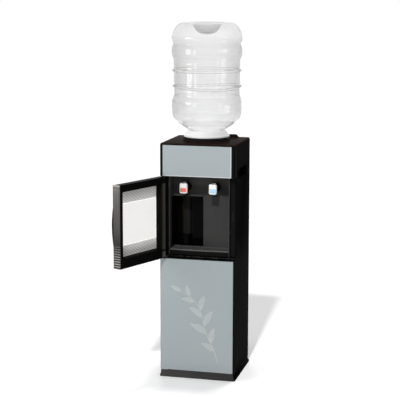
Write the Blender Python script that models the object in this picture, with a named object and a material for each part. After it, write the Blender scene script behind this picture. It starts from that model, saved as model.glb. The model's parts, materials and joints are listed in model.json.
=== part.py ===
"""A free-standing bottled-water dispenser with a tap alcove, its door and a storage cupboard.

Metres, +Z up. The origin is on the floor, under the middle of the cabinet.
The front faces -Y and +X is to the right of someone who stands in front.
Each named object is one separate piece of the real machine.
"""
import math

import bmesh
import bpy
from mathutils import Matrix, Vector

# Cabinet
WIDTH = 0.290
DEPTH = 0.278
HEIGHT = 0.915
HALF = WIDTH / 2
FRONT = -DEPTH / 2
BACK = DEPTH / 2
GAP = 0.0003
SHEET = 0.0025
GLASS = 0.0037

# Plinth
PLINTH_TOP = 0.045
TOE_TOP = 0.0285
FLARE = 0.005

# Levels of the front, from the floor up
LOWER_DOOR = (0.0307, 0.4745)
TAP_DOOR = (0.4765, 0.7883)
HEAD_BOTTOM = 0.7895
COVER_BOTTOM = 0.9097

# Depths behind the front glass
LOWER_DOOR_THICK = 0.030
TAP_DOOR_THICK = 0.032
HEAD_THICK = 0.039

# Head and stiles
UPPER_GLASS_HALF = HALF - 0.0105
UPPER_GLASS_BOTTOM = HEAD_BOTTOM + 0.0011
STILE_INNER = 0.1215
STILE_FRONT = FRONT + TAP_DOOR_THICK + 0.0005

# Magnet and the strike that meets it, as seen with the door shut
MAGNET_X = (0.1268, 0.1382)
MAGNET_Z = (0.6183, 0.6557)
MAGNET_DEPTH = 0.0037

# Alcove
ALCOVE_HALF = 0.1163
ALCOVE_FLOOR = 0.4815
ALCOVE_ROOF = 0.785
TAP_WALL_Y = -0.039
NICHE_RIGHT = 0.001
NICHE = (0.505, 0.700)
NICHE_BACK = 0.0065

# Drip tray
TRAY_HALF = ALCOVE_HALF - 0.0008
TRAY_RIM = 0.0035
TRAY_TOP = 0.5030

# Storage cupboard
STORAGE_BACK = 0.110
SHELF_Z = 0.256

# Taps
SHANK_RADIUS = 0.0078
PIN_HOLE = 0.0019
TAP_X = {"hot": -0.0600, "cold": 0.0550}
TAP_Z = 0.738
SPOUT_Y = -0.066
SHANK_END_Y = -0.020
LEVER_FRONT = -0.105
LEVER_BOTTOM = 0.7193
LEVER_TOP = 0.7632
LEVER_PIVOT_Z = 0.7595

# Doors: one vertical axis for both
HINGE_X = -0.1352
HINGE_Y = -0.1279
PIN_RADIUS = 0.003
LUG_RADIUS = 0.008
TAP_DOOR_ANGLE = 113.0
DOOR_EDGE_X = 0.144
BARREL_Z = (0.5095, 0.7650)
WINDOW_X = (-0.101, 0.1253)
WINDOW_Z = (0.5140, 0.7613)

# Bottle and seat
BOTTLE_Y = 0.016
COLLAR_TOP = 0.9278
BOTTLE_WALL = 0.0016
NECK_RADIUS = 0.028
MOUTH_Z = 0.876
ROUND_STEPS = 28

# Machinery
DECK_TOP = 0.4765
TANK_CENTRE = (-0.062, 0.070)
TANK_RADIUS = 0.048
TANK_FLOOR = 0.500
TANK_TOP = 0.655
RESERVOIR_RADIUS = 0.078
RESERVOIR_FLOOR = 0.797
FAN_Z = 0.850
PIPE_RADIUS = 0.004

# Fittings on the back, as x and z
DRAIN = (-0.100, 0.500)
INLET = (0.0925, 0.5375)
SWITCH_Z = 0.5775
HEATER_SWITCH_X = -0.1050
COOLER_SWITCH_X = -0.0830
ROCKER_Y = 0.1345
SPIGOT_START = 0.1250

PLASTIC = "plastic"
METAL = "metal"
CLEAR = "clear"

# Kind, colour, roughness
BLACK_GLOSS = (PLASTIC, (0.010, 0.010, 0.011), 0.22)
BLACK_SATIN = (PLASTIC, (0.018, 0.018, 0.019), 0.45)
LINER_GREY = (PLASTIC, (0.030, 0.030, 0.031), 0.45)
SIDE_PAINT = (PLASTIC, (0.011, 0.011, 0.012), 0.32)
SILVER_GLASS = (PLASTIC, (0.42, 0.47, 0.49), 0.12)
EDGE_SILVER = (PLASTIC, (0.20, 0.19, 0.18), 0.35)
WHITE = (PLASTIC, (0.86, 0.86, 0.86), 0.35)
GREY_PLASTIC = (PLASTIC, (0.35, 0.36, 0.37), 0.5)
FOAM = (PLASTIC, (0.12, 0.12, 0.12), 0.9)
TUBE_WHITE = (PLASTIC, (0.70, 0.70, 0.68), 0.4)
RED = (PLASTIC, (0.60, 0.04, 0.03), 0.35)
GREEN = (PLASTIC, (0.05, 0.40, 0.12), 0.35)
STEEL = (METAL, (0.55, 0.55, 0.56), 0.3)
STAINLESS = (METAL, (0.62, 0.62, 0.62), 0.25)
ALUMINIUM = (METAL, (0.68, 0.68, 0.70), 0.35)
BOTTLE_CLEAR = (CLEAR, (0.93, 0.96, 0.98), 0.03)
WINDOW_CLEAR = (CLEAR, (0.92, 0.95, 0.95), 0.02)


def clear_scene():
    for obj in list(bpy.data.objects):
        bpy.data.objects.remove(obj, do_unlink=True)


def material(name, finish):
    kind, colour, roughness = finish
    mat = bpy.data.materials.new(name)
    mat.use_nodes = True
    shader = mat.node_tree.nodes["Principled BSDF"]
    shader.inputs["Base Color"].default_value = (*colour, 1.0)
    shader.inputs["Roughness"].default_value = roughness
    shader.inputs["Metallic"].default_value = 1.0 if kind == METAL else 0.0
    shader.inputs["Transmission Weight"].default_value = 0.9 if kind == CLEAR else 0.0
    return mat


def place(name, data, finish):
    obj = bpy.data.objects.new(name, data)
    bpy.context.scene.collection.objects.link(obj)
    if finish is None:
        obj.hide_render = True
        obj.display_type = "WIRE"
    else:
        data.materials.append(material(name, finish))
    return obj


def solid(name, bm, finish):
    bmesh.ops.recalc_face_normals(bm, faces=bm.faces[:])
    mesh = bpy.data.meshes.new(name)
    bm.to_mesh(mesh)
    bm.free()
    mesh.shade_smooth()
    mesh.set_sharp_from_angle(angle=math.radians(32))
    return place(name, mesh, finish)


def box(name, x, y, z, finish=None, bevel=0.0):
    """A block between pairs of x, y and z; without a finish it is a hidden cutter."""
    bm = bmesh.new()
    bmesh.ops.create_cube(bm, size=1.0)
    size = Vector((x[1] - x[0], y[1] - y[0], z[1] - z[0]))
    centre = Vector((sum(x) / 2, sum(y) / 2, sum(z) / 2))
    for vert in bm.verts:
        vert.co = Vector([vert.co[i] * size[i] for i in range(3)]) + centre
    if bevel:
        bmesh.ops.bevel(bm, geom=bm.edges[:], offset=bevel, segments=2, profile=0.5, affect="EDGES")
    return solid(name, bm, finish)


def prism(name, outline, axis, low, high, finish=None):
    """An outline, given in the two directions other than the axis, extruded along the axis."""
    order = {"X": (1, 2, 0), "Y": (0, 2, 1), "Z": (0, 1, 2)}[axis]
    bm = bmesh.new()
    ring = []
    for a, b in outline:
        co = [0.0, 0.0, 0.0]
        co[order[0]], co[order[1]], co[order[2]] = a, b, low
        ring.append(bm.verts.new(co))
    face = bm.faces.new(ring)
    moved = bmesh.ops.extrude_face_region(bm, geom=[face])["geom"]
    shift = [0.0, 0.0, 0.0]
    shift[order[2]] = high - low
    bmesh.ops.translate(bm, vec=shift, verts=[g for g in moved if isinstance(g, bmesh.types.BMVert)])
    return solid(name, bm, finish)


def layered(name, levels, finish=None):
    """A closed body lofted through level outlines, each given as (height, points)."""
    bm = bmesh.new()
    rings = [[bm.verts.new((px, py, z)) for px, py in points] for z, points in levels]
    count = len(rings[0])
    for lower, upper in zip(rings, rings[1:]):
        for i in range(count):
            j = (i + 1) % count
            bm.faces.new((lower[i], lower[j], upper[j], upper[i]))
    bm.faces.new(rings[0])
    bm.faces.new(rings[-1])
    return solid(name, bm, finish)


def turned(name, outline, centre, finish=None, axis="Z", steps=ROUND_STEPS):
    """An outline of (radius, height) spun round an axis through the centre."""
    bm = bmesh.new()
    verts = [bm.verts.new((r, 0.0, h)) for r, h in outline]
    on_axis = outline[0][0] == 0.0 and outline[-1][0] == 0.0
    pairs = list(zip(verts, verts[1:]))
    if not on_axis:
        pairs.append((verts[-1], verts[0]))
    edges = [bm.edges.new(pair) for pair in pairs]
    bmesh.ops.spin(bm, geom=verts + edges, cent=(0, 0, 0), axis=(0, 0, 1), angle=math.tau,
                   steps=steps, use_merge=True)
    bmesh.ops.remove_doubles(bm, verts=bm.verts[:], dist=1e-6)
    turn = {"Z": Matrix.Identity(4), "X": Matrix.Rotation(math.pi / 2, 4, "Y"),
            "Y": Matrix.Rotation(-math.pi / 2, 4, "X")}[axis]
    bmesh.ops.transform(bm, matrix=Matrix.Translation(centre) @ turn, verts=bm.verts[:])
    return solid(name, bm, finish)


def rod(name, radius, low, high, centre, finish=None, axis="Z", steps=16):
    """A plain cylinder from low to high along its axis."""
    outline = [(0.0, low), (radius, low), (radius, high), (0.0, high)]
    return turned(name, outline, centre, finish, axis, steps)


def rounded(x, y, radius, inset=0.0, steps=4):
    """Points of a rectangle in plan with round corners, drawn in by an inset."""
    points = []
    corners = ((x[1], y[1], 0), (x[0], y[1], 90), (x[0], y[0], 180), (x[1], y[0], 270))
    for cx, cy, start in corners:
        sx = -1 if cx == x[1] else 1
        sy = -1 if cy == y[1] else 1
        for k in range(steps + 1):
            angle = math.radians(start + 90 * k / steps)
            reach = radius - inset
            points.append((cx + sx * radius + reach * math.cos(angle),
                           cy + sy * radius + reach * math.sin(angle)))
    return points


def combine(target, operation, *tools):
    """Cut the tools from the target, or join them to it."""
    for tool in tools:
        tool.hide_render = True
        tool.display_type = "WIRE"
        mod = target.modifiers.new(tool.name, "BOOLEAN")
        mod.operation = operation
        mod.solver = "EXACT"
        mod.object = tool


def cut(target, *tools):
    combine(target, "DIFFERENCE", *tools)


def join(target, *tools):
    combine(target, "UNION", *tools)


def tube(name, points):
    """A pipe along a route whose first and last runs are straight and whose middle is smooth."""
    route = [Vector(points[0])]
    per_span = 5
    for a, b, c, d in zip(points, points[1:], points[2:], points[3:]):
        a, b, c, d = Vector(a), Vector(b), Vector(c), Vector(d)
        for k in range(per_span):
            t = k / per_span
            route.append(0.5 * (2 * b + (c - a) * t + (2 * a - 5 * b + 4 * c - d) * t ** 2
                                + (3 * b - a - 3 * c + d) * t ** 3))
    route += [Vector(points[-2]), Vector(points[-1])]
    curve = bpy.data.curves.new(name, "CURVE")
    curve.dimensions = "3D"
    curve.bevel_depth = PIPE_RADIUS
    curve.bevel_resolution = 1
    curve.use_fill_caps = True
    spline = curve.splines.new("POLY")
    spline.points.add(len(route) - 1)
    for point, co in zip(spline.points, route):
        point.co = (*co, 1.0)
    place(name, curve, TUBE_WHITE)


def pivot(name, location, turn_z=0.0):
    """An empty on a joint's axis, turned to the pose that the object rests in."""
    empty = bpy.data.objects.new(name, None)
    bpy.context.scene.collection.objects.link(empty)
    empty.location = location
    empty.rotation_euler = (0.0, 0.0, turn_z)
    return empty


def hang(empty, *pieces):
    """Carry pieces, and their cutters, that were placed with the empty unturned."""
    back_to_axis = Matrix.Translation(-Vector(empty.location))
    for piece in pieces:
        tools = [mod.object for mod in piece.modifiers if mod.type == "BOOLEAN"]
        for obj in [piece] + tools:
            obj.parent = empty
            obj.matrix_parent_inverse = back_to_axis


def base_plinth():
    toe_front = FRONT + 0.002
    levels = []
    for z, flare in ((0.0, FLARE), (0.004, FLARE), (0.014, 0.0012), (TOE_TOP, 0.0)):
        sides = (-HALF - flare, HALF + flare)
        levels.append((z, rounded(sides, (toe_front, BACK + flare), 0.006, steps=2)))
    plinth = layered("base_plinth", levels, BLACK_SATIN)
    behind_door = FRONT + LOWER_DOOR_THICK + 0.0005
    join(plinth, box("plinth_step", (-HALF, HALF), (behind_door, BACK), (0.02, PLINTH_TOP)))
    rib = 0.010
    wall, roof = 0.006, 0.024
    for side in (-1, 1):
        across = sorted((side * rib, side * (HALF - wall)))
        for n, along in enumerate(((FRONT + 0.010, -rib), (rib, BACK - wall))):
            cut(plinth, box(f"pocket_{side}_{n}", across, along, (-0.01, roof)))


def side_panel(name, side):
    """Painted side with a boxed carry-handle recess."""
    step_y = FRONT + HEAD_THICK + GAP
    low_y = FRONT + LOWER_DOOR_THICK + 0.0005
    top = COVER_BOTTOM - GAP
    sill = TAP_DOOR[0]
    outline = [(low_y, PLINTH_TOP + GAP), (BACK, PLINTH_TOP + GAP), (BACK, top), (step_y, top),
               (step_y, sill), (low_y, sill)]
    inner, outer = HALF - SHEET, HALF
    panel = prism(name, outline, "X", *sorted((side * inner, side * outer)), SIDE_PAINT)
    depth, wall = 0.022, 0.002
    hole_y, hole_z = (-0.070, 0.076), (0.774, 0.816)
    pocket = box(f"{name}_pocket", sorted((side * (HALF - depth - wall), side * (HALF - 0.001))),
                 (hole_y[0] - wall, hole_y[1] + wall), (hole_z[0] - wall, hole_z[1] + wall))
    lip = 0.008
    scoop = [(HALF - depth, hole_z[0] + lip), (HALF + 0.01, hole_z[0]), (HALF + 0.01, hole_z[1]),
             (HALF - depth, hole_z[1])]
    scoop = [(side * px, pz) for px, pz in scoop]
    hollow = prism(f"{name}_hollow", scoop, "Y", *hole_y)
    join(panel, pocket)
    cut(panel, hollow)


def back_panel():
    """Sheet with two fields of vent slots and the holes of the rear fittings."""
    inner = HALF - SHEET - GAP
    panel = box("back_panel", (-inner, inner), (BACK - SHEET, BACK), (PLINTH_TOP + GAP, COVER_BOTTOM - GAP),
                SIDE_PAINT)
    through = (BACK - 0.02, BACK + 0.02)
    fields = (("fan_vent", 7, (-0.034, 0.034), 0.815, 0.0110, 0.0045),
              ("tank_vent", 6, (0.020, 0.110), 0.620, 0.0140, 0.0050))
    for name, slots, across, lowest, pitch, height in fields:
        for k in range(slots):
            z = lowest + pitch * k
            cut(panel, box(f"{name}_{k}", across, through, (z, z + height)))
    x, z = (HEATER_SWITCH_X + COOLER_SWITCH_X) / 2, SWITCH_Z
    cut(panel, box("switch_hole", (x - 0.0223, x + 0.0223), through, (z - 0.0228, z + 0.0228)))
    x, z = INLET
    cut(panel, box("inlet_hole", (x - 0.0158, x + 0.0158), through, (z - 0.0128, z + 0.0128)))
    cut(panel, rod("spigot_hole", 0.0083, *through, (DRAIN[0], 0.0, DRAIN[1]), axis="Y"))


def front_frame():
    """Head surround, the two stiles beside the alcove and the sill, moulded in one."""
    corner = 0.005
    head_back = FRONT + HEAD_THICK
    plan = rounded((-HALF, HALF), (FRONT, head_back + 0.02), corner, steps=3)
    frame = prism("front_frame", plan, "Z", HEAD_BOTTOM, COVER_BOTTOM - GAP, BLACK_GLOSS)
    cut(frame, box("head_trim", (-0.2, 0.2), (head_back, 0.0), (0.7, 1.0)))
    half = UPPER_GLASS_HALF + GAP
    cut(frame, box("glass_seat", (-half, half), (FRONT - 0.01, FRONT + GLASS + GAP),
                   (UPPER_GLASS_BOTTOM - GAP, 0.95)))
    wall = 0.003
    cut(frame, box("head_hollow", (-HALF + wall, HALF - wall), (FRONT + GLASS + 0.0033, 0.0),
                   (HEAD_BOTTOM + wall, COVER_BOTTOM - 0.0032)))
    low = TAP_DOOR[0] + GAP
    for side in (-1, 1):
        edge, soft = side * STILE_INNER, side * (HALF - corner)
        outline = [(edge, STILE_FRONT), (soft, STILE_FRONT), (side * (HALF - 0.0015), STILE_FRONT + 0.0015),
                   (side * HALF, STILE_FRONT + corner), (side * HALF, head_back), (edge, head_back)]
        join(frame, prism(f"stile_{side}", outline, "Z", low, HEAD_BOTTOM + 0.001))
    half = STILE_INNER + 0.001
    join(frame, box("sill", (-half, half), (STILE_FRONT, head_back), (low, ALCOVE_FLOOR - GAP)))
    seat_x = (MAGNET_X[0] - GAP, MAGNET_X[1] + GAP)
    seat_z = (MAGNET_Z[0] - GAP, MAGNET_Z[1] + GAP)
    cut(frame, box("magnet_seat", seat_x, (STILE_FRONT - 0.01, STILE_FRONT + MAGNET_DEPTH + GAP), seat_z))


def upper_glass():
    box("upper_glass", (-UPPER_GLASS_HALF, UPPER_GLASS_HALF), (FRONT, FRONT + GLASS),
        (UPPER_GLASS_BOTTOM, COVER_BOTTOM - 0.0005), SILVER_GLASS)


def top_cover():
    """Lid with a rolled edge, a raised ridge along its rear and the hole for the bottle seat."""
    radius = 0.009
    levels = []
    for z, inset in ((COVER_BOTTOM, 0.0), (COVER_BOTTOM + 0.0013, 0.0), (COVER_BOTTOM + 0.0036, 0.0010),
                     (HEIGHT, 0.0035)):
        levels.append((z, rounded((-HALF, HALF), (FRONT, BACK), radius, inset)))
    cover = layered("top_cover", levels, BLACK_GLOSS)
    foot, crest, low, high = 0.103, 0.093, HEIGHT - 0.002, HEIGHT + 0.010
    ridge = [(-foot, low), (foot, low), (crest, high), (-crest, high)]
    join(cover, prism("rear_ridge", ridge, "Y", 0.1240, 0.1365))
    cut(cover, rod("seat_hole", 0.0765, 0.90, 0.93, (0, BOTTLE_Y, 0), steps=ROUND_STEPS))


def seat_collar():
    low, inner, outer = HEIGHT + GAP, 0.0775, 0.0915
    outline = [(inner, low), (outer, low), (outer - 0.001, low + 0.004), (outer - 0.002, COLLAR_TOP),
               (inner, COLLAR_TOP)]
    turned("seat_collar", outline, (0, BOTTLE_Y, 0), BLACK_GLOSS)


def bottle_seat():
    """Funnel ring with a well for the bottle's neck; its lip runs close under the shoulder."""
    brim = COLLAR_TOP + GAP
    outline = [(0.0068, 0.8660), (0.0395, 0.8660), (0.0395, 0.9140), (0.0740, 0.9250), (0.0740, brim),
               (0.0885, brim), (0.0885, 0.9345), (0.0835, 0.9385), (0.0805, 0.9425), (0.0780, 0.9465),
               (0.0745, 0.9505), (0.0715, 0.9528), (0.0680, 0.9526), (0.0590, 0.9472), (0.0500, 0.9432),
               (0.0400, 0.9384), (0.0365, 0.9350), (0.0365, 0.8690), (0.0068, 0.8690)]
    turned("bottle_seat", outline, (0, BOTTLE_Y, 0), WHITE)


def feed_probe():
    """Hollow spike that stands in the well and opens the bottle's cap."""
    bore, stem, flange = 0.0042, 0.0065, 0.0120
    outline = [(bore, 0.8600), (flange, 0.8600), (flange, 0.8657), (stem, 0.8657), (stem, 0.9200),
               (bore, 0.9260)]
    turned("feed_probe", outline, (0, BOTTLE_Y, 0), WHITE, steps=16)


def bottle():
    """The inverted bottle, drawn from the dished base at the top down to its mouth."""
    base = [(0.0, 1.3260), (0.0300, 1.3300), (0.0500, 1.3470), (0.0570, 1.3600), (0.0660, 1.3648),
            (0.0900, 1.3640), (0.1080, 1.3575), (0.1220, 1.3440), (0.1315, 1.3240)]
    ringed_wall = [(0.1350, 1.3090), (0.1335, 1.2960), (0.1290, 1.2840), (0.1335, 1.2710), (0.1350, 1.2600),
                   (0.1350, 1.2460), (0.1335, 1.2360), (0.1280, 1.2250), (0.1268, 1.1900), (0.1335, 1.1860),
                   (0.1335, 1.1780), (0.1268, 1.1720), (0.1262, 1.1320), (0.1325, 1.1240), (0.1325, 1.1170),
                   (0.1268, 1.1080), (0.1264, 1.0850), (0.1320, 1.0740), (0.1335, 1.0640)]
    shoulder = [(0.1335, 1.0300), (0.1325, 1.0120), (0.1285, 1.0010), (0.1160, 0.9880), (0.1050, 0.9770),
                (0.0840, 0.9640), (0.0690, 0.9542), (0.0590, 0.9482), (0.0500, 0.9442), (0.0360, 0.9380),
                (NECK_RADIUS + 0.001, 0.9320)]
    neck = [(NECK_RADIUS, 0.9250), (NECK_RADIUS, MOUTH_Z)]
    bm = bmesh.new()
    verts = [bm.verts.new((r, 0.0, z)) for r, z in base + ringed_wall + shoulder + neck]
    edges = [bm.edges.new(pair) for pair in zip(verts, verts[1:])]
    bmesh.ops.spin(bm, geom=verts + edges, cent=(0, 0, 0), axis=(0, 0, 1), angle=math.tau,
                   steps=ROUND_STEPS, use_merge=True)
    bmesh.ops.remove_doubles(bm, verts=bm.verts[:], dist=1e-6)
    bmesh.ops.translate(bm, vec=(0, BOTTLE_Y, 0), verts=bm.verts[:])
    wall = solid("bottle", bm, BOTTLE_CLEAR).modifiers.new("wall", "SOLIDIFY")
    wall.thickness = BOTTLE_WALL
    wall.offset = -1.0


def bottle_cap():
    """Snap cap round the mouth, open in its middle where the probe has pushed through."""
    hole, inner, outer = 0.0085, NECK_RADIUS + GAP, NECK_RADIUS + 0.0025
    floor, inside, rim = MOUTH_Z - 0.0025, MOUTH_Z - GAP, MOUTH_Z + 0.029
    outline = [(hole, floor), (outer, floor), (outer, rim), (inner, rim), (inner, inside), (hole, inside)]
    turned("bottle_cap", outline, (0, BOTTLE_Y, 0), WHITE)


def alcove_liner():
    """Tap wall, side walls, roof and floor in one, with a window for the niche and a lip above it."""
    wall = ALCOVE_HALF + SHEET
    top = TAP_DOOR[1] - 0.0008
    front, rear = STILE_FRONT + GAP, FRONT + HEAD_THICK + GAP
    liner = box("alcove_liner", (-wall, wall), (rear, TAP_WALL_Y + SHEET), (TAP_DOOR[0] + GAP, top),
                LINER_GREY)
    join(liner, box("liner_lip", (-wall, wall), (front, rear + 0.001), (ALCOVE_FLOOR + 0.0004, top)))
    cut(liner, box("cup_space", (-ALCOVE_HALF, ALCOVE_HALF), (-0.2, TAP_WALL_Y), (ALCOVE_FLOOR, ALCOVE_ROOF)))
    proud, high = 0.0025, 0.009
    across, along = (-ALCOVE_HALF - 0.001, NICHE_RIGHT), (TAP_WALL_Y - proud, TAP_WALL_Y + 0.001)
    join(liner, box("niche_lip", across, along, (NICHE[1] + GAP, NICHE[1] + high)))
    cut(liner, box("niche_hole", (-ALCOVE_HALF, NICHE_RIGHT), (TAP_WALL_Y - 0.01, 0.0), NICHE))
    for name, x in TAP_X.items():
        hole = rod(f"{name}_hole", SHANK_RADIUS + 0.0005, TAP_WALL_Y - 0.01, 0.0, (x, 0, TAP_Z), axis="Y")
        cut(liner, hole)


def niche_liner():
    """Glossy box let into the tap wall, with a half-round pillar on a wider foot at its back."""
    x0, x1 = -ALCOVE_HALF + GAP, NICHE_RIGHT - GAP
    z0, z1 = NICHE[0] + GAP, NICHE[1] - GAP
    wall, cheek_front = 0.002, -0.077
    niche = box("niche_liner", (x0, x1), (TAP_WALL_Y, NICHE_BACK + wall), (z0, z1), BLACK_GLOSS)
    cut(niche, box("niche_space", (x0 + wall, x1 - wall), (-0.1, NICHE_BACK), (z0 + wall, z1 - wall)))
    cheek = box("niche_cheek", (x0, x0 + wall), (cheek_front, TAP_WALL_Y + 0.001), (z0, z1))
    centre_y, low, high = NICHE_BACK + 0.001, z0 + 0.001, z1 - 0.001
    pillar = rod("niche_pillar", 0.0195, low, high, (-0.074, centre_y, 0), steps=24)
    radius, shoulder = 0.027, 0.546
    outline = [(0, low), (radius, low), (radius, shoulder - 0.006), (radius - 0.003, shoulder), (0, shoulder)]
    foot = turned("niche_foot", outline, (-0.083, centre_y, 0), steps=24)
    join(niche, cheek, pillar, foot)
    cut(niche, box("niche_trim", (-0.2, 0.1), (NICHE_BACK + wall, 0.1), (0.4, 0.8)))


def mid_deck():
    half = HALF - SHEET - GAP
    box("mid_deck", (-half, half), (-0.094, BACK - SHEET - GAP), (DECK_TOP - 0.004, DECK_TOP), STEEL)


def storage_liner():
    """Open-fronted box of the cupboard, with a ledge on each side for the shelf."""
    half = HALF - SHEET - GAP
    front, back = FRONT + LOWER_DOOR_THICK + 0.0008, STORAGE_BACK
    low, high = PLINTH_TOP + GAP, DECK_TOP - 0.004 - GAP
    liner = box("storage_liner", (-half, half), (front, back), (low, high), BLACK_SATIN)
    cut(liner, box("storage_space", (-half + SHEET, half - SHEET), (-0.2, back - SHEET),
                   (low + SHEET, high - SHEET)))
    for side in (-1, 1):
        across = sorted((side * (half - SHEET - 0.006), side * (half - 0.001)))
        join(liner, box(f"ledge_{side}", across, (front + 0.02, back - 0.001), (SHELF_Z - 0.006, SHELF_Z)))


def storage_shelf():
    half = HALF - 2 * SHEET - 2 * GAP - 0.0005
    low, thick, lip = SHELF_Z + GAP, 0.0037, 0.0117
    front = -0.0935
    shelf = box("storage_shelf", (-half, half), (front + 0.0035, STORAGE_BACK - 0.0035), (low, low + thick),
                GREY_PLASTIC)
    join(shelf, box("shelf_lip", (-half, half), (front, front + 0.004), (low, low + lip)))


def storage_door():
    """Door shell behind the lower glass; its inner hinge corner is cut back to turn freely."""
    x0, x1 = -HALF + 0.0015, HALF - 0.0010
    y0, y1 = FRONT + GLASS + GAP, FRONT + LOWER_DOOR_THICK
    z0, z1 = LOWER_DOOR[0] + 0.0006, LOWER_DOOR[1] - 0.0004
    corner = 0.0065
    plan = [(x0, y0), (x1, y0), (x1, y1), (x0 + corner, y1), (x0, y1 - corner)]
    shell = prism("storage_door_frame", plan, "Z", z0, z1, BLACK_GLOSS)
    cut(shell, box("door_hollow", (-0.118, x1 - 0.003), (-0.2, y1 - 0.003), (z0 + 0.010, z1 - 0.010)))
    notch_w, notch_h = 0.013, 0.006
    for side, edge in ((-1, x0), (1, x1)):
        span = sorted((edge, edge - side * (notch_w - 0.001)))
        top = z0 + notch_h - 0.0014
        join(shell, box(f"corner_block_{side}", span, (FRONT + 0.0005, y0 + 0.001), (z0, top)))
    bore = 0.018
    for n, z in enumerate(((z0 - 0.01, z0 + bore), (z1 - bore, z1 + 0.01))):
        cut(shell, rod(f"door_bore_{n}", PIN_RADIUS + GAP, *z, (HINGE_X, HINGE_Y, 0)))
    half = HALF - 0.0005
    low, high = LOWER_DOOR
    outline = [(-half, low + notch_h), (-half + notch_w, low + notch_h), (-half + notch_w, low),
               (half - notch_w, low), (half - notch_w, low + notch_h), (half, low + notch_h), (half, high),
               (-half, high)]
    glass = prism("storage_door_glass", outline, "Y", FRONT, FRONT + GLASS, SILVER_GLASS)
    hang(pivot("storage_hinge_axis", (HINGE_X, HINGE_Y, 0)), shell, glass)


def tap_door():
    """The alcove door, placed shut and then swung open about its hinge axis."""
    z0, z1 = TAP_DOOR
    y0, y1 = FRONT + GLASS + GAP, FRONT + TAP_DOOR_THICK
    edge_x0 = DOOR_EDGE_X - 0.0035
    frame = box("tap_door_frame", (HINGE_X + 0.012, edge_x0 - GAP), (y0, y1), (z0, z1), BLACK_GLOSS)
    foot, head = BARREL_Z
    barrel = rod("door_barrel", LUG_RADIUS, foot, head, (HINGE_X, HINGE_Y, 0), steps=24)
    web = box("door_web", (HINGE_X, HINGE_X + 0.013), (y0, HINGE_Y + LUG_RADIUS), (foot, head))
    join(frame, web, barrel)
    cut(frame, box("barrel_flat", (-0.2, 0.2), (-0.2, y0), (0.4, 0.9)))
    cut(frame, box("door_window", WINDOW_X, (-0.2, 0.0), WINDOW_Z))
    cut(frame, box("strike_seat", (MAGNET_X[0], MAGNET_X[1] + 0.001), (y1 - 0.0018, y1 + 0.01), MAGNET_Z))
    bore = 0.0135
    for n, z in enumerate(((foot - 0.01, foot + bore), (head - bore, head + 0.01))):
        cut(frame, rod(f"barrel_bore_{n}", PIN_RADIUS + GAP, *z, (HINGE_X, HINGE_Y, 0)))
    left, right, inset = HINGE_X - LUG_RADIUS, edge_x0 - GAP, HINGE_X + LUG_RADIUS + 0.001
    pane = [(inset, z0), (right, z0), (right, z1), (inset, z1), (inset, head), (left, head), (left, foot),
            (inset, foot)]
    glass = prism("tap_door_glass", pane, "Y", FRONT, FRONT + GLASS, WINDOW_CLEAR)
    grooves, pitch, width, depth, first = 10, 0.0092, 0.0042, 0.0012, 0.4800
    outline = [(edge_x0, z0), (DOOR_EDGE_X, z0)]
    for k in range(grooves):
        z = first + k * pitch
        outline += [(DOOR_EDGE_X, z), (DOOR_EDGE_X - depth, z), (DOOR_EDGE_X - depth, z + width),
                    (DOOR_EDGE_X, z + width)]
    outline += [(DOOR_EDGE_X, z1), (edge_x0, z1)]
    edge = prism("tap_door_edge", outline, "Y", FRONT, y1, EDGE_SILVER)
    grip_z = (0.5635, 0.7035)
    bulge, bars = 0.0056, 12
    face = FRONT - GAP
    ends = face - 0.0008
    bow = [(ends, grip_z[0])]
    for k in range(1, bars):
        t = k / bars
        bow.append((ends - bulge * math.sin(math.pi * t) ** 0.9, grip_z[0] + t * (grip_z[1] - grip_z[0])))
    bow += [(ends, grip_z[1]), (face, grip_z[1]), (face, grip_z[0])]
    grip = prism("tap_door_grip", bow, "X", 0.1272, 0.1432, BLACK_SATIN)
    strike = box("door_strike", (MAGNET_X[0] + GAP, MAGNET_X[1] + 0.001 - GAP), (y1 - 0.0015, y1 - GAP),
                 (MAGNET_Z[0] + GAP, MAGNET_Z[1] - GAP), BLACK_SATIN)
    axis = pivot("tap_door_axis", (HINGE_X, HINGE_Y, 0), -math.radians(TAP_DOOR_ANGLE))
    hang(axis, frame, glass, edge, grip, strike)


def door_magnet():
    box("door_magnet", MAGNET_X, (STILE_FRONT + 0.0004, STILE_FRONT + MAGNET_DEPTH), MAGNET_Z, BLACK_SATIN)


def hinges():
    """Three steel hinge pieces on one vertical axis."""
    axis = (HINGE_X, HINGE_Y, 0)
    plate_x, reach = (-0.1420, -0.1180), 0.011
    upper_low, lug_top = BARREL_Z[1] + 0.003, BARREL_Z[0] - 0.0033
    upper = rod("upper_hinge", LUG_RADIUS, upper_low, HEAD_BOTTOM - GAP, axis, STEEL, steps=24)
    join(upper, rod("upper_pin", PIN_RADIUS, BARREL_Z[1] - reach, upper_low + 0.002, axis))
    plate_z = (LOWER_DOOR[1] + 0.0004, TAP_DOOR[0] - 0.0004)
    middle = box("middle_hinge", plate_x, (FRONT + 0.0005, -0.0955), plate_z, STEEL)
    join(middle, rod("middle_lug", LUG_RADIUS, plate_z[0] + 0.0006, lug_top, axis, steps=24))
    join(middle, rod("middle_pin", PIN_RADIUS, LOWER_DOOR[1] - 0.0125, BARREL_Z[0] + reach, axis))
    plate_z = (TOE_TOP + GAP, LOWER_DOOR[0] - 0.0005)
    lower = box("lower_hinge", plate_x, (FRONT + 0.0025, -0.1095), plate_z, STEEL)
    join(lower, rod("lower_pin", PIN_RADIUS, TOE_TOP + 0.0007, LOWER_DOOR[0] + 0.0153, axis))


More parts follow.
